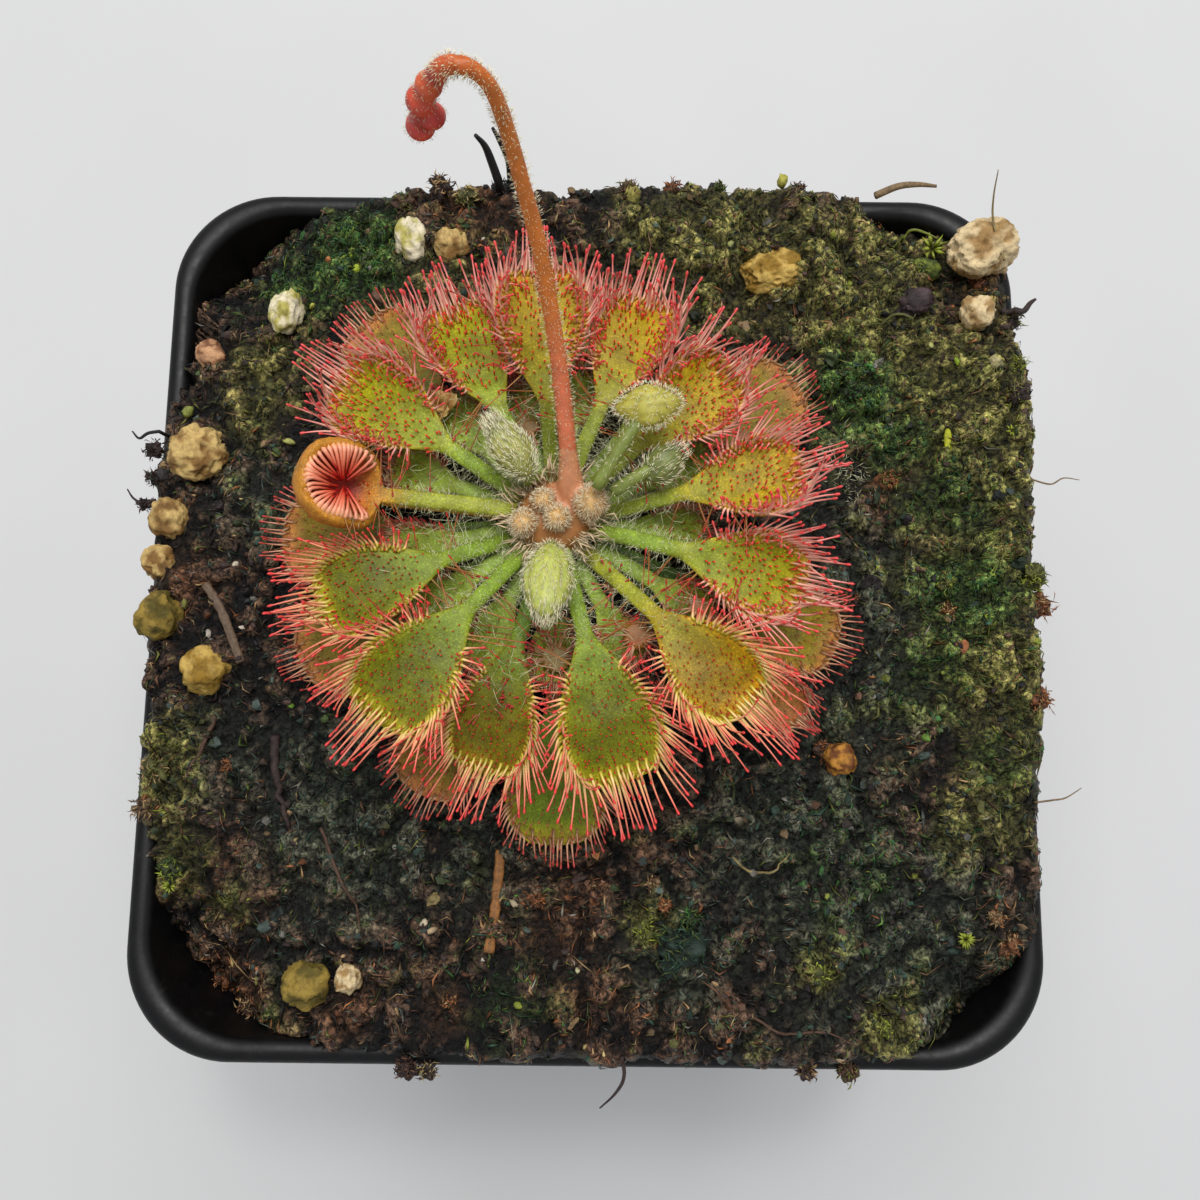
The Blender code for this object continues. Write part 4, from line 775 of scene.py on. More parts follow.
# Materials
class Look:
    """A Principled material that is put together node by node."""

    def __init__(self, name, roughness, **sockets):
        self.material = bpy.data.materials.new(name)
        self.material.use_nodes = True
        self.nodes = self.material.node_tree.nodes
        self.shader = self.nodes["Principled BSDF"]
        self.shader.inputs["Roughness"].default_value = roughness
        for socket, value in sockets.items():
            self.shader.inputs[socket.replace("_", " ")].default_value = value

    def node(self, kind, inputs=None, **settings):
        """Node with its settings, and with values or other nodes' outputs on its inputs."""
        made = self.nodes.new("ShaderNode" + kind)
        for setting, value in settings.items():
            setattr(made, setting, value)
        for socket, value in (inputs or {}).items():
            self.put(made.inputs[socket], value)
        return made

    def put(self, socket, value):
        """Value or output on a socket."""
        if isinstance(value, bpy.types.NodeSocket):
            self.material.node_tree.links.new(value, socket)
        else:
            socket.default_value = value

    def place(self):
        """Place on the object."""
        return self.node("TexCoord").outputs["Object"]

    def noise(self, size, detail=4.0, roughness=0.55, distortion=0.0):
        """Noise with lumps of a size in millimetres."""
        inputs = {"Vector": self.place(), "Scale": 1 / (size * MM), "Detail": detail,
                  "Roughness": roughness, "Distortion": distortion}
        return self.node("TexNoise", inputs).outputs["Fac"]

    def ramp(self, value, stops):
        """Colour or value for each share, from stops of place and colour."""
        made = self.node("ValToRGB", {"Fac": value})
        band = made.color_ramp
        while len(band.elements) < len(stops):
            band.elements.new(1.0)
        for element, (at, colour) in zip(band.elements, stops):
            element.position = at
            element.color = (*colour, 1.0) if np.ndim(colour) else (colour, colour, colour, 1.0)
        return made.outputs["Color"]

    def multiply(self, share, first, second):
        """First colour, multiplied by the second to a share."""
        made = self.node("Mix", data_type="RGBA", blend_type="MULTIPLY")
        for socket, value in ((made.inputs[0], share), (made.inputs[6], first), (made.inputs[7], second)):
            self.put(socket, value)
        return made.outputs[2]

    def tint(self):
        """Colour that the mesh holds at each point."""
        return self.node("Attribute", attribute_name="tint").outputs["Color"]

    def bump(self, height, depth):
        """Normal of a relief of a depth in millimetres."""
        inputs = {"Height": height, "Distance": depth * MM, "Strength": 1.0}
        return self.node("Bump", inputs).outputs["Normal"]

    def finish(self, colour=None, roughness=None, normal=None):
        """Put the finished colour, roughness and normal on the shader."""
        for socket, value in (("Base Color", colour), ("Roughness", roughness), ("Normal", normal)):
            if value is not None:
                self.put(self.shader.inputs[socket], value)
        return self.material


def leaf_look():
    """Waxy leaf that lets light into it, with fine darker flecks and painted highlights for its shining
    pimples.
    """
    look = Look("leaf", 0.42, Subsurface_Weight=0.25, Subsurface_Scale=0.0008, Specular_IOR_Level=0.22)
    look.shader.inputs["Subsurface Radius"].default_value = (0.7, 1.0, 0.25)
    patches = look.ramp(look.noise(1.4, 3.0), [(0.3, 0.66), (0.7, 1.2)])
    # Fine flecks, a little darker or much brighter: the bright ones are painted highlights.
    speckle_and_glints = look.ramp(look.noise(0.16, 2.0), [(0.3, 0.82), (0.56, 1.0), (0.66, 1.6)])
    colour = look.multiply(1.0, look.tint(), patches)
    colour = look.multiply(0.85, colour, speckle_and_glints)
    return look.finish(colour, normal=look.bump(look.noise(0.2, 2.0), 0.05))


def map_look(name, stops, dark, light=1.0, roughness=0.35, **sockets):
    """Colour along one side of the piece's map, and from dark to light along the other."""
    look = Look(name, roughness, **sockets)
    split = look.node("SeparateXYZ", {"Vector": look.node("UVMap", uv_map="OFBake").outputs["UV"]})
    colour = look.ramp(split.outputs["X"], [(at, paint(*shade)) for at, shade in stops])
    shade = look.ramp(split.outputs["Y"], [(0.0, dark), (1.0, light)])
    return look.finish(look.multiply(1.0, colour, shade))


def tinted_look(name, roughness, size, depth, spots=0.75, **sockets):
    """The mesh's own colours, mottled, on a rough skin."""
    look = Look(name, roughness, **sockets)
    mottle = look.ramp(look.noise(size, 4.0, 0.6), [(0.25, spots), (0.75, 1.15)])
    colour = look.multiply(1.0, look.tint(), mottle)
    return look.finish(colour, normal=look.bump(look.noise(size * 0.5, 4.0, 0.65), depth))


def peat_look():
    """Wet peat: crumbs, painted shade in the hollows of its relief, and painted glints for specks of
    water.
    """
    look = Look("peat", 0.5, Specular_IOR_Level=0.3)
    grains = look.noise(0.5, 6.0, 0.72, distortion=0.5)
    # The noise that makes the relief also paints the colour: near black in its hollows as painted shade,
    # and far brighter on its tops as painted glints.
    light = look.ramp(grains, [(0.38, 0.02), (0.47, 0.42), (0.56, 1.5), (0.68, 3.6)])
    colour = look.multiply(1.0, look.tint(), light)
    return look.finish(colour, look.ramp(grains, [(0.4, 0.25), (0.6, 0.75)]), look.bump(grains, 0.3))


def grain_look():
    """Porous, stained grain."""
    look = Look("grain", 0.7, Specular_IOR_Level=0.4)
    stain = look.ramp(look.noise(0.7, 5.0, 0.7), [(0.36, 0.7), (0.5, 1.0), (0.7, 1.15)])
    fine = look.noise(0.22, 4.0, 0.7)
    colour = look.multiply(1.0, look.tint(), stain)
    # Painted shade: the fine noise that makes the pores' relief also paints them darker.
    colour = look.multiply(0.7, colour, look.ramp(fine, [(0.32, 0.4), (0.44, 1.0)]))
    return look.finish(colour, normal=look.bump(fine, 0.12))


def pot_look():
    """Satin black plastic with faint scuffs and dust."""
    look = Look("pot", 0.4, Specular_IOR_Level=0.3)
    dust = look.ramp(look.noise(1.4, 6.0, 0.75), [(0.45, paint(9, 9, 10)), (0.62, paint(14, 14, 15)),
                                                 (0.8, paint(48, 47, 44))])
    rough = look.ramp(look.noise(0.8, 4.0), [(0.3, 0.36), (0.7, 0.52)])
    return look.finish(dust, rough, look.bump(look.noise(0.4, 3.0), 0.012))


def floor_look():
    """Pale matt table."""
    look = Look("floor", 0.75, Specular_IOR_Level=0.3)
    tone = look.ramp(look.noise(60.0, 2.0), [(0.3, paint(215, 215, 215)), (0.7, paint(219, 219, 220))])
    return look.finish(tone)


def tone_stops():
    """The strands' colours, evenly along the map."""
    return [((index + 0.5) / len(TONES), tone) for index, tone in enumerate(TONES.values())]


def hair_look(name, red, green, blue):
    """Matt hairs of one colour, too fine to show more."""
    return Look(name, 0.5, Base_Color=(red, green, blue, 1.0)).material


LOOKS = {
    "leaf": leaf_look(),
    "pink_tentacle": map_look("pink_tentacle", [
        (0.0, (196, 150, 50)), (0.1, (222, 176, 90)), (0.2, (252, 208, 180)), (0.5, (252, 178, 166)),
        (0.74, (250, 134, 126)), (0.82, (246, 92, 90)), (1.0, (232, 72, 74))], 0.82, 1.15),
    "coral_tentacle": map_look("coral_tentacle", [
        (0.0, (176, 160, 44)), (0.12, (206, 190, 74)), (0.24, (248, 216, 146)), (0.42, (252, 170, 130)),
        (0.72, (250, 128, 112)), (0.82, (240, 80, 76)), (1.0, (222, 54, 54))], 0.82, 1.15),
    "bowl_tentacle": map_look("bowl_tentacle", [
        (0.0, (222, 176, 90)), (0.14, (236, 176, 120)), (0.35, (246, 168, 134)), (0.6, (240, 130, 98)),
        (0.74, (216, 70, 52)), (0.82, (180, 20, 16)), (1.0, (136, 8, 10))], 0.85, 1.1),
    "pale_tentacle": map_look("pale_tentacle", [
        (0.0, (150, 110, 60)), (0.2, (220, 176, 136)), (0.6, (226, 150, 126)),
        (0.78, (214, 96, 84)), (1.0, (190, 50, 48))], 0.7, 1.05),
    "thin_tentacle": map_look("thin_tentacle", [
        (0.0, (150, 140, 60)), (0.3, (176, 120, 66)), (0.7, (186, 88, 52)), (0.8, (204, 50, 36)),
        (1.0, (190, 30, 30))], 0.6, 1.1),
    "gland": map_look("gland", [
        (0.0, (206, 140, 50)), (0.4, (228, 84, 52)), (0.7, (236, 56, 46)),
        (1.0, (240, 60, 52))], 0.8, 1.2),
    "dark_gland": map_look("dark_gland", [
        (0.0, (150, 110, 40)), (0.4, (180, 70, 36)), (1.0, (204, 50, 34))], 0.7, 1.15),
    "pale_gland": map_look("pale_gland", [
        (0.0, (206, 150, 90)), (0.5, (232, 150, 120)), (0.8, (214, 76, 66)),
        (1.0, (206, 60, 54))], 0.7, 1.1),
    "hair": hair_look("hair", 0.78, 0.78, 0.5),
    "tan_down": hair_look("tan_down", 0.95, 0.82, 0.56),
    "down": hair_look("down", 0.95, 0.9, 0.62),
    "stipule": hair_look("stipule", 0.78, 0.6, 0.38),
    "flesh": tinted_look("flesh", 0.45, 0.9, 0.06, Subsurface_Weight=0.3, Subsurface_Scale=0.0008),
    "peat": peat_look(),
    # The strands' second map axis is painted shade for those lying on the peat, darker where they lie
    # low, and random tone for the rest.
    "strand": map_look("strand", tone_stops(), 0.25, 2.0, 0.5, Specular_IOR_Level=0.3),
    "soil": tinted_look("soil", 0.6, 0.4, 0.12, 0.4),
    "grain": grain_look(),
    "pot": pot_look(),
}


# Pot
def rounded_square(half, z, steps=20):
    """Points of a square with round corners, anticlockwise from above."""
    corner = CORNER_RADIUS * half / (RIM_WIDTH / 2)
    points = []
    for quarter in range(4):
        middle = math.radians(45 + 90 * quarter)
        x = math.copysign(half - corner, math.cos(middle))
        y = math.copysign(half - corner, math.sin(middle))
        for angle in np.radians(90 * quarter + np.linspace(0, 90, steps + 1)):
            points.append((x + corner * math.cos(angle), y + corner * math.sin(angle), z))
    return points


def wall_half(z):
    """Half width of the pot's inside at a height above the rim."""
    rim = RIM_WIDTH / 2 - LIP_WIDTH
    levels = [-POT_HEIGHT + FLOOR, -BAND_HEIGHT, -LIP_ROUND]
    return np.interp(z, levels, [BASE_WIDTH / 2 - WALL, rim - LIP_ROUND, rim])


def make_pot():
    """Tapering pot with a band, a rolled lip, round corners and four drain holes."""
    rim, base = RIM_WIDTH / 2, BASE_WIDTH / 2
    bottom = -POT_HEIGHT
    turns = np.radians(np.linspace(0, 90, 6))
    levels = [(base - EDGE_ROUND * (1 - math.sin(t)), bottom + EDGE_ROUND * (1 - math.cos(t)))
              for t in turns]
    levels += [
        (rim - LIP_WIDTH - 0.15, -BAND_HEIGHT - WALL - 0.2), (rim - LIP_WIDTH, -BAND_HEIGHT - WALL),
        (rim - LIP_ROUND - 0.2, -BAND_HEIGHT - 0.12), (rim - LIP_ROUND, -BAND_HEIGHT + 0.1),
    ]
    half = LIP_WIDTH / 2
    for t in np.radians(np.linspace(0, 180, 15)):
        levels.append((rim - half + half * math.cos(t), -LIP_ROUND + LIP_ROUND * math.sin(t)))
    levels += [(wall_half(z), z) for z in (-2.0, -4.5, -BAND_HEIGHT, -30.0, bottom + FLOOR + 1)]
    levels += [(wall_half(bottom) - 0.6, bottom + FLOOR)]
    rings = [rounded_square(half_width, z) for half_width, z in levels]
    shape = Shape()
    shape.add(rings, loft_faces(len(rings), len(rings[0])))
    pot = place_piece("pot_body", shape, "pot", "pot", "pot")
    holes = bmesh.new()
    for x in (-DRAIN_PLACE, DRAIN_PLACE):
        for y in (-DRAIN_PLACE, DRAIN_PLACE):
            bmesh.ops.create_cone(holes, cap_ends=True, segments=32, radius1=DRAIN_RADIUS * MM,
                                  radius2=DRAIN_RADIUS * MM, depth=4 * FLOOR * MM,
                                  matrix=Matrix.Translation((x * MM, y * MM, 0)))
    mesh = bpy.data.meshes.new("holes")
    holes.to_mesh(mesh)
    holes.free()
    cutter = link_object("holes", mesh)
    cut = pot.modifiers.new("holes", "BOOLEAN")
    cut.operation = "DIFFERENCE"
    cut.object = cutter
    apply_modifiers(pot).set_sharp_from_angle(angle=math.radians(SHARP_ANGLE))
    bpy.data.objects.remove(cutter)


# Leaves
def direction(pitch):
    """Unit step outward and up at a pitch in degrees."""
    return np.array([math.cos(math.radians(pitch)), math.sin(math.radians(pitch))])


class LeafForm:
    """The surface of one leaf: 0 at the foot of its stalk to 1 at its tip, and -1 to 1 across."""

    curled = False

    def __init__(self, leaf, start):
        self.leaf = leaf
        self.palette = PALETTES[leaf.palette]
        first = np.array([start, leaf.low])
        last = np.array([leaf.reach, leaf.high])
        pull = MIDRIB_PULL * np.linalg.norm(last - first)
        second = first + pull * direction(leaf.rise)
        third = last - pull * direction(leaf.fall)
        t = np.linspace(0, 1, MIDRIB_POINTS)[:, None]
        line = (1 - t) ** 3 * first + 3 * (1 - t) ** 2 * t * second
        line += 3 * (1 - t) * t ** 2 * third + t ** 3 * last
        steps = np.concatenate([[0], np.cumsum(np.linalg.norm(np.diff(line, axis=0), axis=1))])
        self.line = line
        self.length = steps[-1]
        self.shares = steps / steps[-1]
        self.blade = 1 - BLADE_LENGTH_RATIO * leaf.width / self.length
        self.widest = self.blade + WIDEST_SHARE * (1 - self.blade)
        self.tip_row = self.widest + (1 - self.widest) * math.sqrt(1 - TIP_ROW_WIDTH ** 2)
        azimuth = math.radians(leaf.azimuth)
        self.outward = np.array([math.cos(azimuth), math.sin(azimuth), 0])
        self.sideways = np.array([-math.sin(azimuth), math.cos(azimuth), 0])

    def middle(self, s):
        """Distance outward and height of the midrib."""
        return np.stack([np.interp(s, self.shares, part) for part in self.line.T], axis=-1)

    def half_width(self, s):
        """Half the leaf's width."""
        half = self.leaf.width / 2
        share = np.clip((s - self.blade) / (self.widest - self.blade), 0.0, 1.0)
        growth = WEDGE * np.sin(share * math.pi / 2) + (1 - WEDGE) * ease(share)
        wedge = STALK_HALF_WIDTH + (half - STALK_HALF_WIDTH) * growth
        beyond = np.clip((s - self.widest) / (1 - self.widest), 0.0, 1.0)
        cap = half * (1 - beyond ** TIP_POWER) ** (1 / TIP_POWER)
        return np.where(s < self.widest, wedge, cap)

    def frame(self, s):
        """Place, direction along the leaf, direction across it and upward normal."""
        s = np.asarray(s, float)
        here = self.middle(s)
        step = 1 / MIDRIB_POINTS
        ahead = unit(self.middle(np.minimum(s + step, 1)) - self.middle(np.maximum(s - step, 0)))
        base = np.array([*CROWN, 0.0])
        up = np.array([0.0, 0.0, 1.0])
        place = base + self.outward * here[..., :1] + up * here[..., 1:]
        along = self.outward * ahead[..., :1] + up * ahead[..., 1:]
        angle = (math.radians(self.leaf.twist) * ease(s / self.widest))[..., None]
        across = self.sideways * np.cos(angle) + np.cross(along, self.sideways) * np.sin(angle)
        return place, along, across, np.cross(along, across)

    def point(self, s, v):
        """Place on the leaf's upper face."""
        s, v = np.broadcast_arrays(np.asarray(s, float), np.asarray(v, float))
        towards_tip = np.maximum(0.0, (s - self.widest) / (self.tip_row - self.widest))
        ahead = (1 - self.tip_row) * (1 - v * v) * towards_tip ** 2
        place, _, across, normal = self.frame(s + ahead)
        half = self.half_width(s)[..., None]
        share = ease((s - self.blade + CUP_START) / (self.widest - self.blade))
        arc = np.maximum(FLAT_ARC, self.leaf.arc * share)[..., None]
        v = v[..., None]
        return place + across * half * np.sin(arc * v) / arc + normal * half * (1 - np.cos(arc * v)) / arc

    def normal(self, s, v):
        """Upward normal of the leaf's upper face."""
        s, v = np.broadcast_arrays(np.asarray(s, float), np.asarray(v, float))
        low, high = np.maximum(s - STEP_ALONG, 0), np.minimum(s + STEP_ALONG, self.tip_row)
        left, right = np.maximum(v - STEP_ACROSS, -1), np.minimum(v + STEP_ACROSS, 1)
        ahead = self.point(high, v) - self.point(low, v)
        return unit(np.cross(ahead, self.point(s, right) - self.point(s, left)))

    def margin(self, share):
        """Leaf coordinates of points on the blade's edge, from one side round the tip to the other."""
        low = self.blade + MARGIN_START * (1 - self.blade)
        up = low + (self.tip_row - low) * share / MARGIN_SIDE
        down = low + (self.tip_row - low) * (1 - share) / MARGIN_SIDE
        over = (share - 0.5) / (0.5 - MARGIN_SIDE)
        s = np.where(share < MARGIN_SIDE, up, np.where(share > 1 - MARGIN_SIDE, down, self.tip_row))
        return s, np.where(share < MARGIN_SIDE, -1.0, np.where(share > 1 - MARGIN_SIDE, 1.0, over))

    def inside(self, s, v, share):
        """Leaf coordinates moved a share of the way to the blade's middle."""
        middle = (self.blade + self.tip_row) / 2
        return s + (middle - s) * share, v * (1 - share)

    def radial(self, s, v):
        """Distance from the blade's middle as a share of the way to its margin, and direction."""
        middle = (self.blade + self.tip_row) / 2
        a = (s - middle) / (self.tip_row - middle)
        return np.maximum(np.abs(a), np.abs(v)), np.arctan2(a, v)


class CurledForm(LeafForm):
    """The west leaf: its round blade is rolled up into a bowl, low where its stalk comes in."""

    curled = True

    def __init__(self, leaf, start):
        super().__init__(leaf, start)
        self.bottom = float(np.interp(BOWL_PLACE, self.line[:, 0], self.shares))
        self.widest = self.bottom
        self.blade = self.bottom - BOWL_INNER / self.length
        self.tip_row = self.bottom + (1 - self.bottom) * math.sqrt(1 - TIP_ROW_WIDTH ** 2)

    def half_width(self, s):
        """Half the leaf's width: a stalk and a round disc."""
        inner = np.clip((self.bottom - s) / (self.bottom - self.blade), 0, 1)
        outer = np.clip((s - self.bottom) / (1 - self.bottom), 0, 1)
        disc = np.where(s < self.bottom, (1 - inner ** 2) ** 0.6, np.sqrt(1 - outer ** 2))
        least = np.where(s < self.bottom, STALK_HALF_WIDTH, 0.0)
        return least + (BOWL_REACH - least) * disc

    def margin(self, share):
        """Leaf coordinates of points round the bowl's rim, from beside the stalk to beside it again."""
        angle = np.radians(BOWL_OPENING + (360 - 2 * BOWL_OPENING) * share) + np.pi
        out, across = np.cos(angle), np.sin(angle)
        ahead, back = out * (self.tip_row - self.bottom), out * (self.bottom - self.blade) * 0.9
        s = self.bottom + np.where(out > 0, ahead, back)
        return s, np.clip(across * BOWL_REACH / self.half_width(s), -1, 1)

    def point(self, s, v):
        """Place on the leaf's upper face."""
        s, v = np.broadcast_arrays(np.asarray(s, float), np.asarray(v, float))
        across = v * self.half_width(s)
        towards_tip = np.maximum(0.0, (s - self.widest) / (self.tip_row - self.widest))
        s = s + (1 - self.tip_row) * (1 - v * v) * towards_tip ** 2
        out = np.maximum(0.0, s - self.bottom) / (1 - self.bottom) * BOWL_REACH
        reach = np.maximum(np.hypot(out, across), 1e-6)[..., None]
        place, along, side, normal = self.frame(np.minimum(s, self.bottom))
        round_in = BOWL_RADIUS * np.sin(reach / BOWL_RADIUS) / reach
        rise = BOWL_RADIUS * (1 - np.cos(reach / BOWL_RADIUS))
        return place + (along * out[..., None] + side * across[..., None]) * round_in + normal * rise


def blade_grid(form):
    """Leaf coordinates of a blade's rows and columns."""
    stalk = np.linspace(0, form.blade, STALK_ROWS, endpoint=False)
    blade = form.blade + (form.tip_row - form.blade) * np.linspace(0, 1, BLADE_ROWS)
    columns = np.sin(np.linspace(-1, 1, BLADE_COLUMNS + 1) * math.pi / 2)
    return np.meshgrid(np.concatenate([stalk, blade]), columns, indexing="ij")


def blade_colours(form, s, v):
    """Colours of a leaf's upper face."""
    palette = form.palette
    out, _ = form.radial(s, v)
    on_blade = ease((s - form.blade * 0.7) / (form.widest - form.blade * 0.7))
    colours = blend(palette.stalk, palette.face, on_blade)
    colours = blend(colours, palette.face * 0.72, on_blade * ease((0.55 - out) / 0.5) * 0.7)
    colours = blend(colours, palette.edge, on_blade * ease((out - 0.62) / 0.38))
    if form.curled:
        from_bottom = np.hypot((s - form.bottom) * form.length, v * form.half_width(s)) / BOWL_REACH
        colours = blend(colours, paint(168, 40, 24), ease((0.5 - from_bottom) / 0.25))
    return colours


def make_blade(form, slot, *replaced):
    """Leaf with its stalk: a closed skin laid on the leaf's form, thin at its edge."""
    s, v = blade_grid(form)
    top = form.point(s, v)
    normal = form.normal(s, v)
    out, angle = form.radial(s, v)
    on_blade = ease((s - form.blade) / (form.widest - form.blade) * 2)
    to_tip = ease((form.tip_row - s) / (form.tip_row - form.blade) * 6)
    inner = np.sqrt(np.maximum(0.0, 1 - v ** 4)) * np.sqrt(to_tip)
    ridges = RIDGE_DEPTH * np.cos(angle * RIDGES) * ease((out - 0.5) / 0.5) * on_blade * to_tip
    waves = noise_at(top.reshape(-1, 3), 0.7).reshape(s.shape)
    bulge = STALK_BULGE * np.sqrt(np.maximum(0.0, 1 - v ** 2)) * (1 - on_blade)
    top = top + normal * (ridges + WAVE_DEPTH * waves * on_blade + bulge)[..., None]
    edge = BOWL_EDGE if form.curled else EDGE_THICKNESS
    depth = edge + (BLADE_THICKNESS - EDGE_THICKNESS) * inner + bulge
    bottom = top - normal * depth[..., None]
    quads, border = grid_faces(*s.shape)
    after = np.roll(border, -1)
    under = s.size
    rim = np.stack([after, border, border + under, after + under], axis=-1)
    shape = Shape()
    colours = blade_colours(form, s, v).reshape(-1, 3)
    below = blend(colours, form.palette.edge, 0.8) * 0.9 if form.curled else colours * 0.8
    shape.add(np.concatenate([top.reshape(-1, 3), bottom.reshape(-1, 3)]),
              [quads, quads[:, ::-1] + under, rim[:, ::-1]], np.concatenate([colours, below]))
    return place_piece(form.leaf.name + "_blade", shape, "leaf", slot, *replaced)


class Surroundings:
    """Search tree of all blades, in millimetres above the rim, which knows whose each face is."""

    def __init__(self, blades):
        points, faces, self.owners = [], [], []
        for owner, blade in enumerate(blades):
            base = len(points)
            points += [vertex.co / MM - Vector((0, 0, POT_HEIGHT)) for vertex in blade.data.vertices]
            faces += [tuple(corner + base for corner in face.vertices) for face in blade.data.polygons]
            self.owners += [owner] * len(blade.data.polygons)
        self.tree = BVHTree.FromPolygons(points, faces)

    def clear(self, places, owner, reach):
        """Whether places keep clear of every blade but their owner's."""
        for place in places:
            index = self.tree.find_nearest(Vector(place), reach)[2]
            if index is not None and self.owners[index] != owner:
                return False
        return True


# Tentacles
def tentacle_paths(roots, starts, outward, normal, lengths, lifts, curls):
    """Paths from inside the blade, out and up along each stalk, and on through the head."""
    t = np.linspace(0, 1, TENTACLE_STEPS)
    angle = np.radians(lifts[:, None] + curls[:, None] * t)
    step = np.cos(angle)[..., None] * outward[:, None] + np.sin(angle)[..., None] * normal[:, None]
    reach = (lengths / (TENTACLE_STEPS - 1))[:, None, None]
    stalk = starts[:, None] + np.cumsum(step[:, 1:], axis=1) * reach
    head = stalk[:, -1:] + step[:, -1:] * np.array(HEAD_STEPS)[None, :, None]
    return np.concatenate([roots[:, None], starts[:, None], stalk, head], axis=1)


def map_spots(along, count, draw):
    """Places on the map for the rings of tubes: how far along, and a tone for each tube."""
    tones = draw.uniform(0, 1, (count, 1))
    return np.stack(np.broadcast_arrays(np.array(along)[None], tones), axis=-1)


def add_tentacles(shape, paths, thick, draw, head):
    """Stalks with their heads, as closed tubes with places along them on the map."""
    if not len(paths):
        return
    paths = np.array(paths)
    stalk = np.interp(np.linspace(0, 1, TENTACLE_STEPS + 1), *TENTACLE_TAPER) * thick
    radii = np.concatenate([stalk, np.array(HEAD_RADII) * head])
    points, faces = tubes(paths, radii[None], TENTACLE_SIDES)
    along = [*np.linspace(0, STALK_END, TENTACLE_STEPS + 1), *HEAD_PLACES]
    shape.add(points, faces, spot=spread(map_spots(along, len(paths), draw), TENTACLE_SIDES))


def margin_paths(form, around, owner, lower):
    """Tentacles all round a blade's margin in two rows, kept clear of other leaves."""
    draw = draws("margin", owner)
    found = []
    centre = form.point((form.blade + form.tip_row) / 2, 0)
    rows = (LOWER_TENTACLES, LOWER_TENTACLES // 3) if lower else (MARGIN_TENTACLES, INNER_TENTACLES)
    reach = LOWER_REACH if lower else UPPER_REACH
    if form.palette.tentacle == "pink_tentacle":
        rows += (THIRD_TENTACLES,)
    for row, count in enumerate(rows):
        share = (np.arange(count) + draw.uniform(0.25, 0.75, count)) / max(count, 1) * 2 - 1
        share = 0.5 + 0.5 * np.sign(share) * np.abs(share) ** SIDE_CROWDING
        s, v = form.inside(*form.margin(share), ROW_INSET * row)
        start, normal = form.point(s, v), form.normal(s, v)
        start = start + normal * 0.04
        outward = start - centre + form.frame(s)[1] * 1.2
        outward = unit(outward - normal * (outward * normal).sum(axis=-1, keepdims=True))
        root = form.point(*form.inside(s, v, 0.1))
        front = np.sin(np.pi * share)
        lengths = form.leaf.spread * reach * (0.26 + 0.76 * front ** 1.5)
        lengths = lengths * draw.uniform(*LENGTHS, count) * (1 - ROW_SHORTER * row)
        lifts = form.leaf.lift + draw.uniform(*LIFTS, count) + ROW_LIFT * row
        curls = draw.uniform(*CURLS, count)
        for index in range(count):
            one = slice(index, index + 1)
            for change, left in BENDS:
                path = tentacle_paths(root[one], start[one], outward[one], normal[one],
                                      lengths[one] * left, lifts[one] + change, curls[one])[0]
                if around.clear(path[3::2], owner, TENTACLE_CLEAR):
                    found.append(path)
                    break
    return found


def bowl_paths(form):
    """Tentacles folded from the rolled rim of the curled leaf into its bowl."""
    draw = draws("bowl")
    found = []
    share = np.linspace(0, 1, BOWL_TENTACLES)
    s, v = form.margin(share)
    start = form.point(s, v)
    out = unit(start - form.point(*form.inside(s, v, 0.06)))
    place, along, _, normal = form.frame(form.bottom)
    target = place + normal * BOWL_RADIUS * 0.55 - along * 0.5
    t = np.linspace(0, 1, TENTACLE_STEPS)[:, None]
    for first, way in zip(start, out):
        end = target + (first - target) * draw.uniform(0.2, 0.5) + draw.normal(size=3) * 0.1
        bend = first + way * draw.uniform(0.7, 1.1)
        line = (1 - t) ** 2 * first + 2 * t * (1 - t) * bend + t ** 2 * end
        head = end + unit(end - line[-2]) * np.array(HEAD_STEPS)[:, None]
        found.append(np.concatenate([[first - way * 0.5], line, head]))
    return found


def crossing_paths(form, around, owner):
    """Long thin tentacles from the narrow end of a blade, over the gaps between the stalks."""
    draw = draws("crossing", owner)
    count = CROSSING_TENTACLES
    s = form.blade + (form.widest - form.blade) * draw.uniform(-0.35, 0.8, count)
    side = np.where(np.arange(count) % 2, 1.0, -1.0)
    start = form.point(s, side)
    _, along, across, _ = form.frame(s)
    normal = form.normal(s, side)
    outward = unit(across * side[:, None] + along * draw.uniform(-0.9, 0.5, (count, 1)))
    root = start - across * side[:, None] * 0.2 - normal * 0.1
    found = []
    for lift in CROSSING_LIFTS:
        paths = tentacle_paths(root, start, outward, normal, draw.uniform(*CROSSING_LENGTHS, count),
                               draw.uniform(-5, 35, count) + lift, draw.uniform(-30, 30, count))
        found += [path for path in paths if around.clear(path[3::2], owner, CROSSING_CLEAR)]
        if len(found) >= count:
            break
    return found[:count]


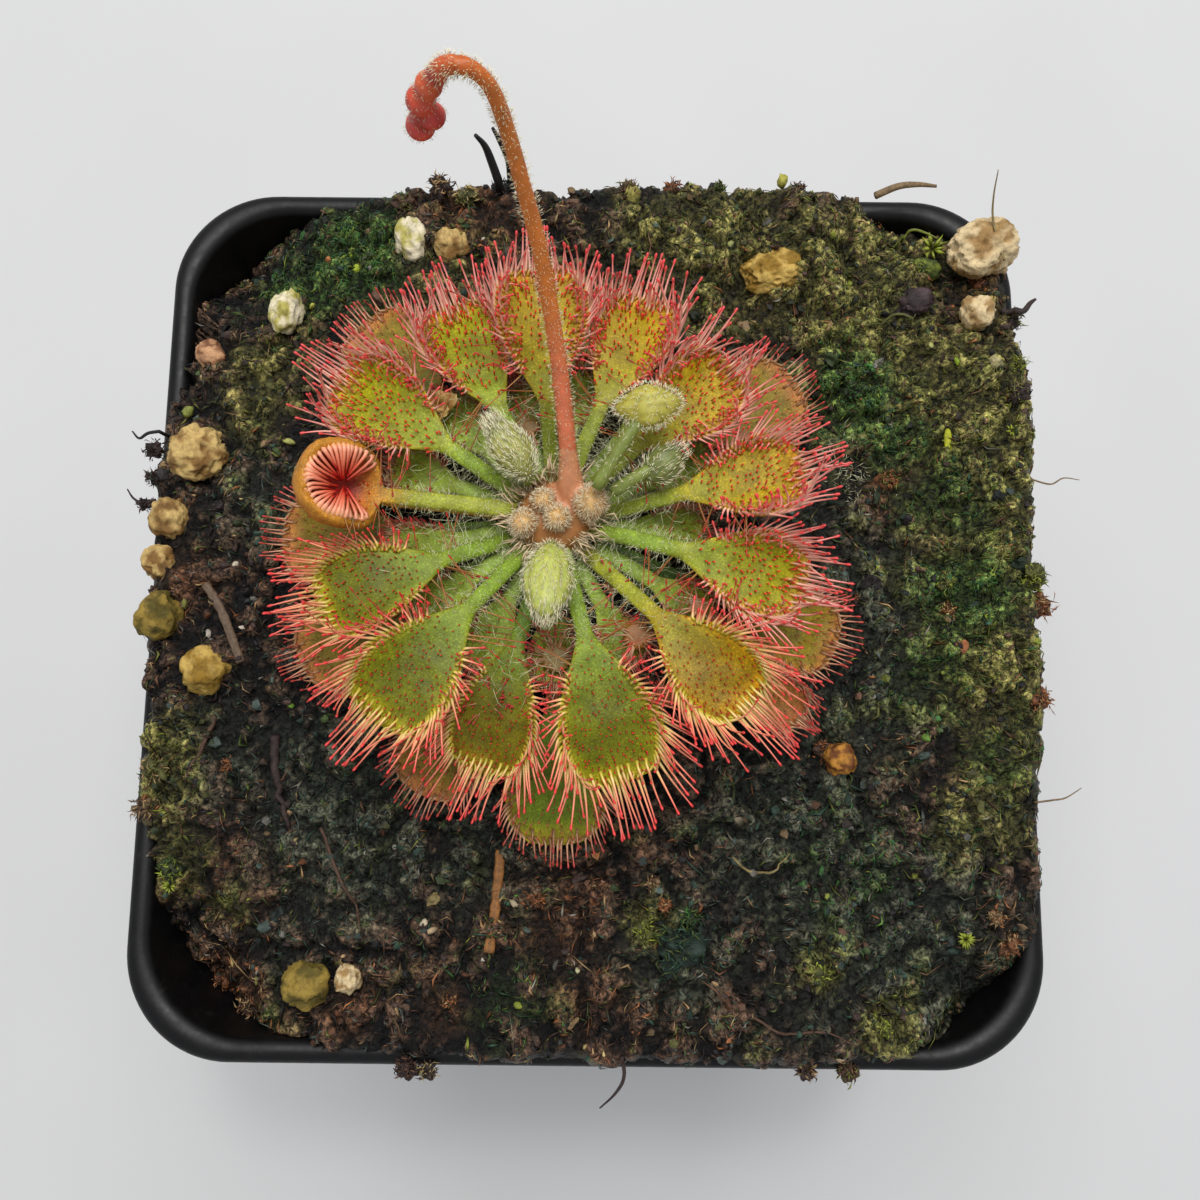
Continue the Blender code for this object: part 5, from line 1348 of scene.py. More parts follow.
def face_glands(form, around, owner, dress):
    """Starts and tips of the short glands on a blade's face, longer and leaning outward at its margin."""
    draw = draws("glands", owner)
    rows = int((form.tip_row - form.blade) * form.length / dress.spacing)
    last = (form.blade + form.bottom) / 2 if form.curled else 1.0
    starts, ends = [], []
    for row in range(1, rows):
        s = form.blade + (form.tip_row - form.blade) * (row + 0.3) / rows
        missing = 0.08 + BARE_BASE * (1 - row / rows) ** 2
        count = int(2 * float(form.half_width(s)) / dress.spacing)
        for column in range(count):
            v = ((column + 0.5 + 0.5 * (row % 2)) / count * 2 - 1) * 0.92 + draw.uniform(-0.07, 0.07)
            here = s + draw.uniform(-0.012, 0.012)
            if abs(v) > GLAND_EDGE or here > last or draw.uniform() < missing:
                continue
            start, normal = form.point(here, v), form.normal(here, v)
            _, along, across, _ = form.frame(here)
            out, _ = form.radial(here, v)
            tall = dress.low * draw.uniform(0.8, 1.2) + dress.high * out ** 2
            end = start + unit(normal + (along * 0.6 + across * v) * (0.3 + 1.2 * out)) * tall
            if around.clear([end], owner, GLAND_CLEAR):
                starts.append(start - normal * 0.08)
                ends.append(end)
    return np.array(starts), np.array(ends)


def add_glands(shape, starts, ends, size, draw):
    """Short stalks with oval heads."""
    if not len(starts):
        return
    head = ends + unit(ends - starts) * size * 1.6
    paths = np.stack([starts, starts + (ends - starts) * 0.8, ends + (head - ends) * 0.35, head], axis=1)
    points, faces = tubes(paths, np.array(GLAND_SHAPE) * size, TENTACLE_SIDES)
    spots = map_spots(GLAND_PLACES, len(starts), draw)
    shape.add(points, faces, spot=spread(spots, TENTACLE_SIDES))


def under_leaf(number, azimuth):
    """Small green leaf in a gap under the open ones."""
    draw = random.Random(number)
    high = 9.0 + draw.uniform(-0.5, 0.4)
    return Leaf("under_leaf_%02d" % number, azimuth, 9.4, draw.uniform(11.6, 14.6), high,
                draw.uniform(3.6, 4.6), 6, -8, 0.4, draw.uniform(-10, 10), 1.5, 30, "fresh")


def leaf_forms():
    """Form, slot and replaced nodes of every leaf: the open, the lower, and those in the gaps."""
    forms = []
    for leaf in UPPER_LEAVES:
        kind = CurledForm if leaf.palette == "bowl" else LeafForm
        forms.append((kind(leaf, UPPER_START - FOOT_INSIDE), "leaf", [leaf.name]))
    forms += [(LeafForm(leaf, LOWER_START), "lower_leaf", [leaf.name]) for leaf in LOWER_LEAVES]
    forms += [(LeafForm(under_leaf(number + 1, azimuth), LOWER_START), "lower_leaf", [])
              for number, azimuth in enumerate(UNDER_AZIMUTHS)]
    return forms


def dress_leaf(form, slot, owner, around):
    """Tentacles, crossing tentacles and glands of one leaf."""
    draw = draws("leaf", owner)
    dress = DRESSES[form.palette.tentacle]
    upper = slot == "leaf"
    stalks, thin, glands = Shape(), Shape(), Shape()
    paths = bowl_paths(form) if form.curled else margin_paths(form, around, owner, not upper)
    add_tentacles(stalks, paths, dress.thick, draw, dress.head)
    place_piece(form.leaf.name + "_tentacles", stalks, form.palette.tentacle, slot, keep_map=True)
    if upper:
        add_tentacles(thin, crossing_paths(form, around, owner), CROSSING_THICKNESS, draw, CROSSING_HEAD)
        place_piece(form.leaf.name + "_crossing", thin, "thin_tentacle", slot, keep_map=True)
    add_glands(glands, *face_glands(form, around, owner, dress), dress.size, draw)
    place_piece(form.leaf.name + "_glands", glands, dress.look, slot, keep_map=True)


def make_leaves():
    """All leaves, and what grows on them. Gives back their forms and their blades' search tree."""
    forms = leaf_forms()
    around = Surroundings([make_blade(form, slot, *replaced) for form, slot, replaced in forms])
    for owner, (form, slot, _) in enumerate(forms):
        dress_leaf(form, slot, owner, around)
    return [form for form, _, _ in forms], around.tree


def make_rosettes():
    """Old curled leaves between the stalks: small cups with short tentacles all round."""
    draw = draws("old_leaves")
    flesh, stalks = Shape(), Shape()
    base, faces = ball(3)
    paths = []
    for x, y, z, radius in ROSETTES:
        centre = np.array([x, y, z])
        dent = 1 - 0.5 * ease((base[:, 2] - 0.2) / 0.8)[:, None] * np.array([0, 0, 1])
        rough = 1 + 0.12 * noise_at(base, 2, centre)[:, None]
        tone = blend(paint(176, 92, 30), paint(132, 112, 26), draw.uniform(0, 1))
        flesh.add(centre + base * radius * np.array([1, 1, 0.55]) * dent * rough, [faces], tone)
        count = int(26 * radius)
        angle = draw.uniform(0, 2 * np.pi, count)
        way = level_ways(angle)
        start = centre + way * radius * draw.uniform(0.5, 0.95, (count, 1)) + (0, 0, 0.25 * radius)
        up = np.broadcast_to([0.0, 0.0, 1.0], start.shape)
        paths += list(tentacle_paths(start - up * 0.3, start, way, up, draw.uniform(0.8, 1.7, count),
                                     draw.uniform(5, 60, count), draw.uniform(-20, 30, count)))
    add_tentacles(stalks, paths, 0.55, draw, 0.85)
    place_piece("old_leaves", flesh, "flesh", "lower_leaf")
    place_piece("old_leaf_tentacles", stalks, "pale_tentacle", "lower_leaf", keep_map=True)


def make_dried_leaf():
    """Crumpled tan leaf between two stalks at the upper left."""
    base, faces = ball(4)
    crumple = noise_at(base, 1.6, (4, 1, 7))
    fine = noise_at(base, 5)
    points = base * DRIED_LEAF_SIZE * (1 + 0.5 * crumple + 0.15 * fine)[:, None]
    points[:, 2] += 0.9 * crumple
    # Painted shade and light: the crumple's hollows are painted darker and its raised folds lighter.
    tint = blend(paint(150, 98, 44), paint(220, 180, 112), ease(0.5 + crumple * 1.4))
    shape = Shape()
    shape.add(points + DRIED_LEAF, [faces], tint)
    place_piece("dried_leaf", shape, "flesh", "lower_leaf")


# Hairs
def add_hairs(shape, starts, ways, lengths, radius, draw, bend=0.12):
    """Fine hairs that bend a little on their way."""
    starts = np.asarray(starts, float)
    ends = starts + unit(ways) * np.asarray(lengths, float)[:, None]
    shape.add(*strands(bent(starts, ends, bend, draw), radius))


def make_petiole_hairs(forms):
    """Pale hairs along the leaves' stalks: a fringe at both sides, and short ones lying on top."""
    draw = draws("petiole_hairs")
    shape = Shape()
    for form in forms:
        sides, top = UPPER_PETIOLE_HAIRS if form.leaf.high > LOW_LEAF else LOWER_PETIOLE_HAIRS
        for count, flat in ((sides, False), (top, True)):
            s = draw.uniform(0.02, form.blade * 1.15, count)
            side = draw.choice([-1.0, 1.0], count)
            v = side * draw.uniform(0.0 if flat else 0.4, 0.9 if flat else 1.0, count)
            _, along, across, normal = form.frame(s)
            start = form.point(s, v) + normal * (0.3 - 0.42 * np.abs(v) ** 2)[:, None]
            ways = across * (side * draw.uniform(0.2, 1.2, count))[:, None]
            ways = ways + normal * draw.uniform(0.1 if flat else -0.6, 0.3 if flat else 1.0, (count, 1))
            ways = ways + along * draw.uniform(-0.9, 0.9, (count, 1)) * (1.4 if flat else 0.8)
            lengths = draw.uniform(0.2, 0.4, count) if flat else draw.gamma(4, 0.22, count)
            add_hairs(shape, start, ways, lengths, HAIR_RADII["lying" if flat else "fringe"], draw)
    place_piece("petiole_hairs", shape, "hair", "leaf")


def make_tangle():
    """Long pale hairs strewn between the leaves' stalks."""
    draw = draws("tangle")
    count = TANGLED_HAIRS
    angle = draw.uniform(0, 2 * np.pi, count)
    far = draw.uniform(3.6, 14.0, count)
    start = round_crown(angle, far, draw.uniform(7.4, 12.0, count))
    way = unit(draw.normal(size=(count, 3)) * (1, 1, 0.35))
    length = draw.gamma(5, 0.42, count)[:, None]
    side = draw.normal(size=(count, 3)) * 0.22 * length
    steps = [start + way * length * share + side * bend for share, bend in TANGLE_BENDS]
    shape = Shape()
    shape.add(*strands(np.stack(steps, axis=1), HAIR_RADII["tangle"]))
    place_piece("tangled_hairs", shape, "hair", "leaf")


# Crown
def melted(piece, voxel, smoothing):
    """Melt a piece's overlapping lumps into one smooth skin, and give back its points in millimetres."""
    melt = piece.modifiers.new("melt", "REMESH")
    melt.mode = "VOXEL"
    melt.voxel_size = voxel * MM
    piece.modifiers.new("smooth", "SMOOTH").iterations = smoothing
    mesh = apply_modifiers(piece)
    mesh.shade_smooth()
    points = np.zeros(len(mesh.vertices) * 3, np.float32)
    mesh.vertices.foreach_get("co", points)
    return points.reshape(-1, 3) / MM - (0, 0, POT_HEIGHT)


def make_crown():
    """Crown with its coiled buds and the stalk's foot, melted into one skin, with hairs and scales."""
    shape = Shape()
    turn = 2 * np.pi * np.arange(CROWN_SIDES) / CROWN_SIDES
    rings = [round_crown(turn, CROWN_SIZE * r, np.full(CROWN_SIDES, z)) for r, z in CROWN_PROFILE[::-1]]
    shape.add(rings, loft_faces(len(rings), len(turn)))
    for x, y, z, radius in CROWN_BUDS:
        shape.add(*blobs([(x, y, z)], [radius * CROWN_SIZE], 3))
    foot = smooth_route([STALK_FOOT, *STALK_ROUTE[:2]], 24)[:18]
    shape.add(*tubes([foot], np.interp(np.arange(18), [0, 8, 17], [1.5, 1.25, 0.66])[None], 16))
    crown = place_piece("crown_flesh", shape, "flesh", "crown", "crown")
    places = melted(crown, CROWN_VOXEL, CROWN_SMOOTHING)
    colours = blend(paint(120, 100, 54), paint(176, 118, 62), ease((places[:, 2] - 8) / 5))
    for x, y, z, radius in CROWN_BUDS:
        near = np.linalg.norm(places - (x, y, z + radius * CROWN_SIZE), axis=1) / radius
        colours = blend(colours, paint(222, 178, 112), ease(1.3 - near))
    to_stalk = np.linalg.norm(places[:, None] - foot[None], axis=2).min(axis=1)
    give_tint(crown.data, blend(colours, paint(214, 146, 104), ease(2.2 - to_stalk)))
    make_crown_hairs()


def make_crown_hairs():
    """Hairs laid outward over each bud, fringes all round the crown, and its papery scales."""
    draw = draws("crown_hairs")
    hairs, scales = Shape(), Shape()
    for x, y, z, radius in CROWN_BUDS:
        count = int(420 * radius)
        angle = draw.uniform(0, 2 * np.pi, count)
        tilt = draw.uniform(0.3, 1.7, count)
        out = level_ways(angle)
        skin = out * np.sin(tilt)[:, None] + np.cos(tilt)[:, None] * np.array([0, 0, 1])
        lean = out * np.cos(tilt)[:, None] - np.sin(tilt)[:, None] * np.array([0, 0, 1])
        start = np.array([x, y, z]) + skin * radius * CROWN_SIZE * 0.98
        ways = lean * draw.choice([-0.5, 1.0], (count, 1), p=[0.25, 0.75]) + skin * 0.45
        ways = ways + draw.normal(size=(count, 3)) * 0.25
        add_hairs(hairs, start, ways, draw.uniform(0.3, 0.7, count), HAIR_RADII["crown"], draw)
    for shape, (count, length, radius, low) in ((hairs, CROWN_FRINGE), (scales, CROWN_SCALES)):
        angle = draw.uniform(0, 2 * np.pi, count)
        far = draw.uniform(2.0, 3.1, count)
        out = level_ways(angle, draw.uniform(0.0, 0.8, count))
        start = round_crown(angle, far, draw.uniform(low, CROWN_TOP, count))
        ways = out + draw.normal(size=(count, 3)) * 0.35
        add_hairs(shape, start, ways, draw.uniform(*length, count), radius, draw)
    place_piece("crown_hairs", hairs, "tan_down", "crown")
    place_piece("crown_scales", scales, "stipule", "crown")


# Young leaves
def young_skin(bud, ways):
    """Places on a young leaf's skin in directions from its middle, along, across and up."""
    size = np.array([bud.length, bud.width, bud.thickness]) / 2 * YOUNG_SIZES[bud.name]
    if bud.name == PAD:
        flat = np.hypot(ways[:, 0], ways[:, 1])
        corner = np.abs(ways[:, 0]) ** PAD_POWER + np.abs(ways[:, 1]) ** PAD_POWER
        wide = flat / np.maximum(corner, 1e-9) ** (1 / PAD_POWER)
        return ways * size * np.stack([wide, wide, np.ones(len(ways))], axis=1)
    ridges = 1 + 0.035 * np.cos(11 * np.arctan2(ways[:, 2], ways[:, 1])) * (1 - ways[:, 0] ** 2)
    narrow = (1 - 0.22 * ways[:, 0] ** 2) * ridges
    return ways * size * np.stack([np.ones(len(ways)), narrow, narrow], axis=1)


def young_hairs(bud, draw):
    """Hairs of a young leaf in its own directions: starts, ways and lengths."""
    ways = unit(draw.normal(size=(bud.hairs, 3)) + (0, 0, 0.15))
    if bud.name == PAD:
        angle = draw.uniform(0, 2 * np.pi, bud.hairs)
        ways = unit(level_ways(angle, draw.uniform(-0.5, 0.3, bud.hairs)))
        on_top = draw.uniform(0, 1, (bud.hairs, 1)) < 0.4
        ways = np.where(on_top, unit(draw.normal(size=ways.shape) + (0, 0, 0.8)), ways)
        lean = ways + draw.normal(size=ways.shape) * 0.35
        return young_skin(bud, ways), lean, draw.uniform(0.25, 0.7, bud.hairs)
    tip = ease((ways[:, 0] - 0.55) / 0.3)
    along = unit(np.array([1.0, 0, 0]) - ways * ways[:, :1])
    lean = along * (1 - 0.6 * tip[:, None]) + ways * (0.35 + 0.5 * tip[:, None])
    lean += draw.normal(size=ways.shape) * 0.16
    return young_skin(bud, ways), lean, draw.uniform(0.45, 0.95, bud.hairs) * (1 + 0.5 * tip)


def make_young_leaf(bud, owner):
    """Closed young leaf on its short stalk, with hairs combed along it."""
    draw = draws("young_leaf", owner)
    azimuth, pitch = math.radians(bud.azimuth), math.radians(-bud.pitch)
    turn = np.array(Matrix.Rotation(azimuth, 3, "Z") @ Matrix.Rotation(pitch, 3, "Y"))
    centre = np.array([bud.x, bud.y, bud.height])
    ways, faces = ball(5)
    rough = noise_at(ways, 3.0, centre)
    body, light = (paint(*shade) for shade in YOUNG_COLOURS[bud.name])
    shape = Shape()
    # Painted light: the leaf's upper side is painted in its lighter colour and its lower side in its body
    # colour, mixed with random mottle.
    shape.add(centre + (young_skin(bud, ways) * (1 + 0.03 * rough[:, None])) @ turn.T, [faces],
              blend(body, light, ease(0.3 + 0.5 * ways[:, 2] + 0.5 * rough)))
    foot = np.array(bud.stalk)
    route = smooth_route([foot, (foot + centre) / 2 + (0, 0, 0.35), centre], 10)
    shape.add(*tubes([route], np.full(10, 0.5), 12), paint(128, 142, 66))
    place_piece(bud.name + "_skin", shape, "flesh", "young_leaf", bud.name)
    hairs = Shape()
    starts, lean, lengths = young_hairs(bud, draw)
    add_hairs(hairs, centre + starts @ turn.T, lean @ turn.T, lengths, HAIR_RADII["young"], draw)
    at = draw.integers(1, 9, YOUNG_STALK_HAIRS)
    around = unit(draw.normal(size=(len(at), 3)))
    lengths = draw.uniform(0.4, 1.1, len(at))
    add_hairs(hairs, route[at] + around * 0.42, around, lengths, HAIR_RADII["young_stalk"], draw)
    place_piece(bud.name + "_hairs", hairs, "down", "young_leaf")


# Flower stalk and buds
def make_flower_stalk():
    """Arching stalk that thins upward and swells again at its nodding tip, with fine hairs."""
    route = smooth_route([STALK_FOOT, *STALK_ROUTE], STALK_STEPS)
    share = np.linspace(0, 1, STALK_STEPS)
    radii = np.interp(share, *STALK_TAPER)
    parts = np.array([paint(*shade) for shade in STALK_SHADES]).T
    colours = np.stack([np.interp(share, STALK_PLACES, part) for part in parts], axis=1)
    shape = Shape()
    points, faces = tubes([route], radii, 20)
    shape.add(points, faces, spread(colours[None], 20))
    place_piece("flower_stalk_skin", shape, "flesh", "stalk", "flower_stalk")
    draw = draws("flower_stalk")
    hairs = Shape()
    count = STALK_HAIRS
    at = (draw.uniform(0, 1, count) ** 1.8 * (STALK_STEPS - 2)).astype(int) + 1
    ahead = unit(np.gradient(route, axis=0))[at]
    ways = unit(np.cross(ahead, draw.normal(size=(count, 3))))
    starts = route[at] + ways * radii[at][:, None] * 0.97
    starts = starts + ahead * draw.uniform(-0.3, 0.3, (count, 1))
    lean = ways + ahead * draw.uniform(-0.3, 0.9, (count, 1))
    add_hairs(hairs, starts, lean, draw.uniform(0.2, 0.5, count), HAIR_RADII["flower_stalk"], draw)
    place_piece("flower_stalk_hairs", hairs, "down", "stalk")


def make_flower_buds():
    """Buds at the nodding tip, grown together into one lobed skin that ends in a round tip."""
    draw = draws("flower_buds")
    shape = Shape()
    for x, y, z, radius in FLOWER_BUDS:
        shape.add(*blobs([(x, y, z)], [radius], 3))
    for start, end, radius in BUD_LOBES:
        shape.add(*tubes([smooth_route([start, end], 6)], np.full(6, radius), 12))
    buds = place_piece("flower_buds_skin", shape, "flesh", "flower_bud", "flower_buds")
    places = melted(buds, BUD_VOXEL, BUD_SMOOTHING)
    dark = noise_at(places, 1.1)
    colours = blend(paint(206, 70, 60), paint(216, 98, 58), ease((places[:, 2] - 34.5) / 3.5))
    give_tint(buds.data, blend(colours, paint(168, 44, 40), ease(dark * 1.6 + 0.2) * 0.7))
    hairs = Shape()
    picks = draw.integers(0, len(places), BUD_HAIRS)
    ways = np.array([buds.data.vertices[int(index)].normal[:] for index in picks])
    lengths = draw.uniform(0.12, 0.3, len(picks))
    add_hairs(hairs, places[picks], ways, lengths, HAIR_RADII["buds"], draw)
    place_piece("flower_buds_hairs", hairs, "hair", "flower_bud")


# Peat
def peat_height(x, y):
    """Height of the peat's top before anything presses on it, as in the part's source."""
    height = PEAT_LEVEL
    for bump in PEAT_BUMPS:
        square = (x - bump.x) ** 2 + (y - bump.y) ** 2
        height += bump.height * math.exp(-square / (2 * bump.spread ** 2))
    height += PEAT_LUMP_HEIGHT * noise.noise(Vector((x, y, 0)) / PEAT_LUMP_SIZE)
    over = max(0.0, max(abs(x), abs(y)) - PEAT_EDGE)
    return height - PEAT_EDGE_DROP * over ** 2


def peat_relief(x, y):
    """Clods with dark cracks between them, crumbs and strands of the peat's top."""
    place = Vector((x, y, 0.0))
    clods = min(FLAT_TOP, abs(noise.noise(place / CLOD_SIZE + Vector((3, 9, 1)))))
    lumps = min(FLAT_TOP, abs(noise.noise(place / LUMP_SIZE + Vector((7, 2, 5)))))
    fine = noise.noise(place / SPECK_SIZE)
    first = noise.noise(Vector(((x + y) / 2.6, (x - y) / 0.5, 4.0)))
    second = noise.noise(Vector(((x - 0.4 * y) / 2.2, (0.4 * x + y) / 0.5, 8.0)))
    pick = ease(noise.noise(place / 6.0 + Vector((7, 1, 5))) * 2 + 0.5)
    fibres = STRAND_DEPTH * (first * pick + second * (1 - pick))
    return CLOD_DEPTH * clods + LUMP_DEPTH * lumps + SPECK_DEPTH * fine + fibres - RELIEF_DROP


def peat_edge(x, y):
    """How far the peat's edge is pushed out, as a share."""
    return noise.noise(Vector((x, y, 3)) / 2.4) + 0.9 * noise.noise(Vector((x, y, 9)) / 0.9)


class PressMap:
    """Lowest point of any leaf above each place, widened by the reach that a leaf presses."""

    def __init__(self, tree):
        side = np.arange(-PRESS_HALF, PRESS_HALF + PRESS_STEP, PRESS_STEP)
        up = Vector((0, 0, 1))
        hits = np.full((len(side), len(side)), OPEN_AIR)
        for row, y in enumerate(side):
            for column, x in enumerate(side):
                hit = tree.ray_cast(Vector((x, y, RAY_START)), up, RAY_LENGTH)[0]
                if hit:
                    hits[row, column] = hit.z
        reach = int(round(PRESS_REACH / PRESS_STEP))
        low = hits.copy()
        for dy in range(-reach, reach + 1):
            for dx in range(-reach, reach + 1):
                if dx * dx + dy * dy <= reach * reach:
                    low = np.minimum(low, np.roll(hits, (dy, dx), (0, 1)))
        self.low = low

    def limit(self, x, y):
        """Highest that the peat may be at places."""
        column, row = (np.round((part + PRESS_HALF) / PRESS_STEP).astype(int) for part in (x, y))
        last = len(self.low) - 1
        return self.low[np.clip(row, 0, last), np.clip(column, 0, last)] - PRESS_DEPTH


def patch_share(look, x, y):
    """How strongly one kind of growth covers places."""
    share = np.zeros_like(x)
    for patch in map(Patch._make, PATCHES[look]):
        square = (x - patch.x) ** 2 + (y - patch.y) ** 2
        share = np.maximum(share, patch.strength * np.exp(-square / (PATCH_SOFTNESS * patch.reach ** 2)))
    return share


def peat_colours(x, y, relief):
    """Colours of the peat's top under its strands: brown clods, films of algae, cracks in painted shade.
    """
    coarse = np.array([noise.noise(Vector((a, b, 6)) / 2.4) for a, b in zip(x, y)])
    # Painted shade: the lower a place lies in the relief, the darker it is painted, down to near black in
    # the cracks.
    height = ease((relief + 0.22) / 0.95)
    colours = blend(paint(10, 8, 8), paint(98, 76, 60), height)
    colours = blend(colours, paint(110, 72, 50), ease((coarse - 0.05) * 3) * height * 0.7)
    for look, tone in GROUND_COLOURS.items():
        share = ease((patch_share(look, x, y) + 0.4 * coarse - 0.1) * 1.7)
        # Painted shade as well: each growth's tone is painted darker down in the hollows.
        colours = blend(colours, blend(paint(*tone) * 0.2, paint(*tone), height), share * 0.8)
    return colours


class Peat:
    """The peat's top, as a grid of places with their heights."""

    def __init__(self, tree):
        side = np.linspace(-1, 1, PEAT_CELLS + 1)
        u, v = np.meshgrid(side, side)
        half = self.round_square(u, v) * PEAT_GRID_HALF
        x, y = u * half, v * half
        places = list(zip(x.ravel(), y.ravel()))
        self.relief = np.array([peat_relief(a, b) for a, b in places]).reshape(x.shape)
        plain = np.array([peat_height(a, b) for a, b in places]).reshape(x.shape)
        ragged = np.array([peat_edge(a, b) for a, b in places]).reshape(x.shape)
        self.press = PressMap(tree)
        z = np.minimum(plain + self.relief, self.press.limit(x, y) + 0.25 * self.relief)
        wide = np.interp(z, [0.05, 0.35], [RIM_WIDTH / 2 - LIP_WIDTH - 0.1, PEAT_HALF_WIDTH])
        wide = np.where(z > 0.35, PEAT_HALF_WIDTH + PEAT_RAGGED * (ragged - 0.08), wide)
        for notch_x, notch_y, depth, spread_out in EDGE_NOTCHES:
            square = (x - notch_x) ** 2 + (y - notch_y) ** 2
            wide = wide - depth * np.exp(-square / (2 * spread_out ** 2))
        wide = np.where(z < -LIP_ROUND, wall_half(z) - 0.05, wide)
        self.wide = wide
        level = np.maximum(np.maximum(np.abs(u), np.abs(v)) * PEAT_GRID_HALF, 1e-6)
        squeeze = np.minimum(1.0, wide / level)
        self.x, self.y, self.z = x * squeeze, y * squeeze, z

    @staticmethod
    def round_square(u, v):
        """How far a direction's edge of the rounded square lies, as a share of the plain square's."""
        reach = np.maximum(np.maximum(np.abs(u), np.abs(v)), 1e-9)
        x, y = np.abs(u) / reach, np.abs(v) / reach
        corner = CORNER_RADIUS / (RIM_WIDTH / 2)
        length = np.hypot(x, y)
        x2, y2 = x / length, y / length
        along = (x2 + y2) * (1 - corner)
        edge = along + np.sqrt(np.maximum(0, along ** 2 - 2 * (1 - corner) ** 2 + corner ** 2))
        return np.where(np.minimum(x, y) <= 1 - corner, 1.0, edge / length)

    def read(self, grid, x, y):
        """Values of a grid at places, between its points."""
        half = self.round_square(x, y) * PEAT_GRID_HALF
        column = np.clip((x / half + 1) / 2 * PEAT_CELLS, 0, PEAT_CELLS - 1e-6)
        row = np.clip((y / half + 1) / 2 * PEAT_CELLS, 0, PEAT_CELLS - 1e-6)
        left, low = column.astype(int), row.astype(int)
        a, b = column - left, row - low
        near = grid[low, left] * (1 - a) + grid[low, left + 1] * a
        far = grid[low + 1, left] * (1 - a) + grid[low + 1, left + 1] * a
        return near * (1 - b) + far * b

    def height(self, x, y):
        """Height of the top at places."""
        return self.read(self.z, x, y)

    def ground(self, x, y):
        """Height of the top at one place."""
        return float(self.height(np.array(x), np.array(y)))

    def open_places(self, count, draw):
        """Random places on the peat's top that no leaf presses on."""
        x, y = draw.uniform(-1, 1, (2, count * 2)) * PEAT_HALF_WIDTH
        clear = self.press.limit(x, y) > self.height(x, y) + 0.5
        far = np.maximum(np.abs(x), np.abs(y)) / self.round_square(x, y)
        inside = far < self.read(self.wide, x, y) - 0.25
        raised = self.read(self.relief, x, y) > draw.uniform(-0.7, 0.25, len(x))
        keep = np.flatnonzero(clear & inside & raised)[:count]
        return x[keep], y[keep]

    def make(self):
        """Closed mound: the top, its overhang on the lip, and its sides down to the pot's floor."""
        faces, edge = grid_faces(PEAT_CELLS + 1, PEAT_CELLS + 1)
        quads = faces[:, [0, 3, 2, 1]]
        top = np.stack([self.x, self.y, self.z], axis=-1).reshape(-1, 3)
        colours = peat_colours(self.x.ravel(), self.y.ravel(), self.relief.ravel())
        ring = top[edge]
        flat = np.maximum(np.abs(ring[:, :1]), np.abs(ring[:, 1:2]))
        under = ring.copy()
        under[:, 2] = np.minimum(ring[:, 2] - 0.05, 0.12)
        inner = under.copy()
        inner[:, 2] = np.minimum(under[:, 2] - 0.05, -LIP_ROUND)
        wall = wall_half(inner[:, 2:]) - 0.1
        inner[:, :2] *= wall / np.maximum(flat, wall)
        foot = inner.copy()
        foot[:, 2] = -POT_HEIGHT + FLOOR + GAP
        foot[:, :2] = inner[:, :2] * (BASE_WIDTH / 2 - WALL - GAP) / wall_half(inner[:, 2:])
        rings = np.concatenate([foot, inner, under])
        count = len(edge)
        walls = loft_faces(3, count)
        last = np.arange(2 * count, 3 * count)
        rim = edge + 3 * count
        join = np.stack([last, np.roll(last, -1), np.roll(rim, -1), rim], axis=-1)
        shape = Shape()
        dark = np.broadcast_to(paint(30, 24, 20), (3 * count, 3))
        shape.add(np.concatenate([rings, top]), [walls[0], walls[1], join, quads + 3 * count],
                  np.concatenate([dark, colours]))
        return place_piece("peat_mound", shape, "peat", "peat", "peat")


# Strands, moss and crumbs on the peat
def over_rim(x, y):
    """Whether places are at the peat's edge, where its top can't be read."""
    return np.maximum(np.abs(x), np.abs(y)) > PEAT_HALF_WIDTH - EDGE_ZONE


def tone_spots(tones, light, draw):
    """Places on the map of strands, from the numbers of their tones and how light each is."""
    along = (np.asarray(tones) + 0.5 + draw.uniform(-0.2, 0.2, len(tones))) / len(TONES)
    return np.stack([along, np.clip(light, 0, 1)], axis=1)


def growing_tones(x, y, draw):
    """Tone of a strand at each place, drawn by what grows there."""
    weights = np.zeros((len(x), len(TONES)))
    for look, shares in GROWTH.items():
        row = np.array([shares.get(tone, 0.0) for tone in TONES])
        weights += row if look == "plain" else patch_share(look, x, y)[:, None] * row
    total = np.cumsum(weights, axis=1)
    return (draw.uniform(0, 1, (len(x), 1)) * total[:, -1:] > total).sum(axis=1)


def lay_strands(peat, x, y, tones, draw, length, radius, rise):
    """Shape of strands that lie on the peat in drifts, each rising a little in its middle."""
    count = len(x)
    drift = np.array([noise.noise(Vector((a, b, 0)) / DRIFT_SIZE) for a, b in zip(x, y)])
    angle = drift * DRIFT_TURN + draw.normal(size=count) * DRIFT_STRAY
    half = np.stack([np.cos(angle), np.sin(angle)], axis=1) * length[:, None] / 2
    side = np.stack([-half[:, 1], half[:, 0]], axis=1) * draw.normal(size=(count, 1)) * STRAND_BEND
    ends = []
    for way, lift in ((-1, -0.04), (0, rise), (1, draw.uniform(-0.1, 0.35, count))):
        px, py = np.stack([x, y]) + (half * way + side * (way == 0)).T
        ends.append(np.stack([px, py, peat.height(px, py) + lift], axis=1))
    # Painted shade: strands that lie low in the peat's relief are painted darker, with a random spread on
    # top.
    light = 0.22 + 0.55 * peat.read(peat.relief, x, y) + np.abs(draw.normal(size=count)) * 0.22
    shape = Shape()
    points, faces = strands(np.stack(ends, axis=1), radius)
    shape.add(points, faces, spot=spread(tone_spots(tones, light, draw)[:, None], 5))
    return shape


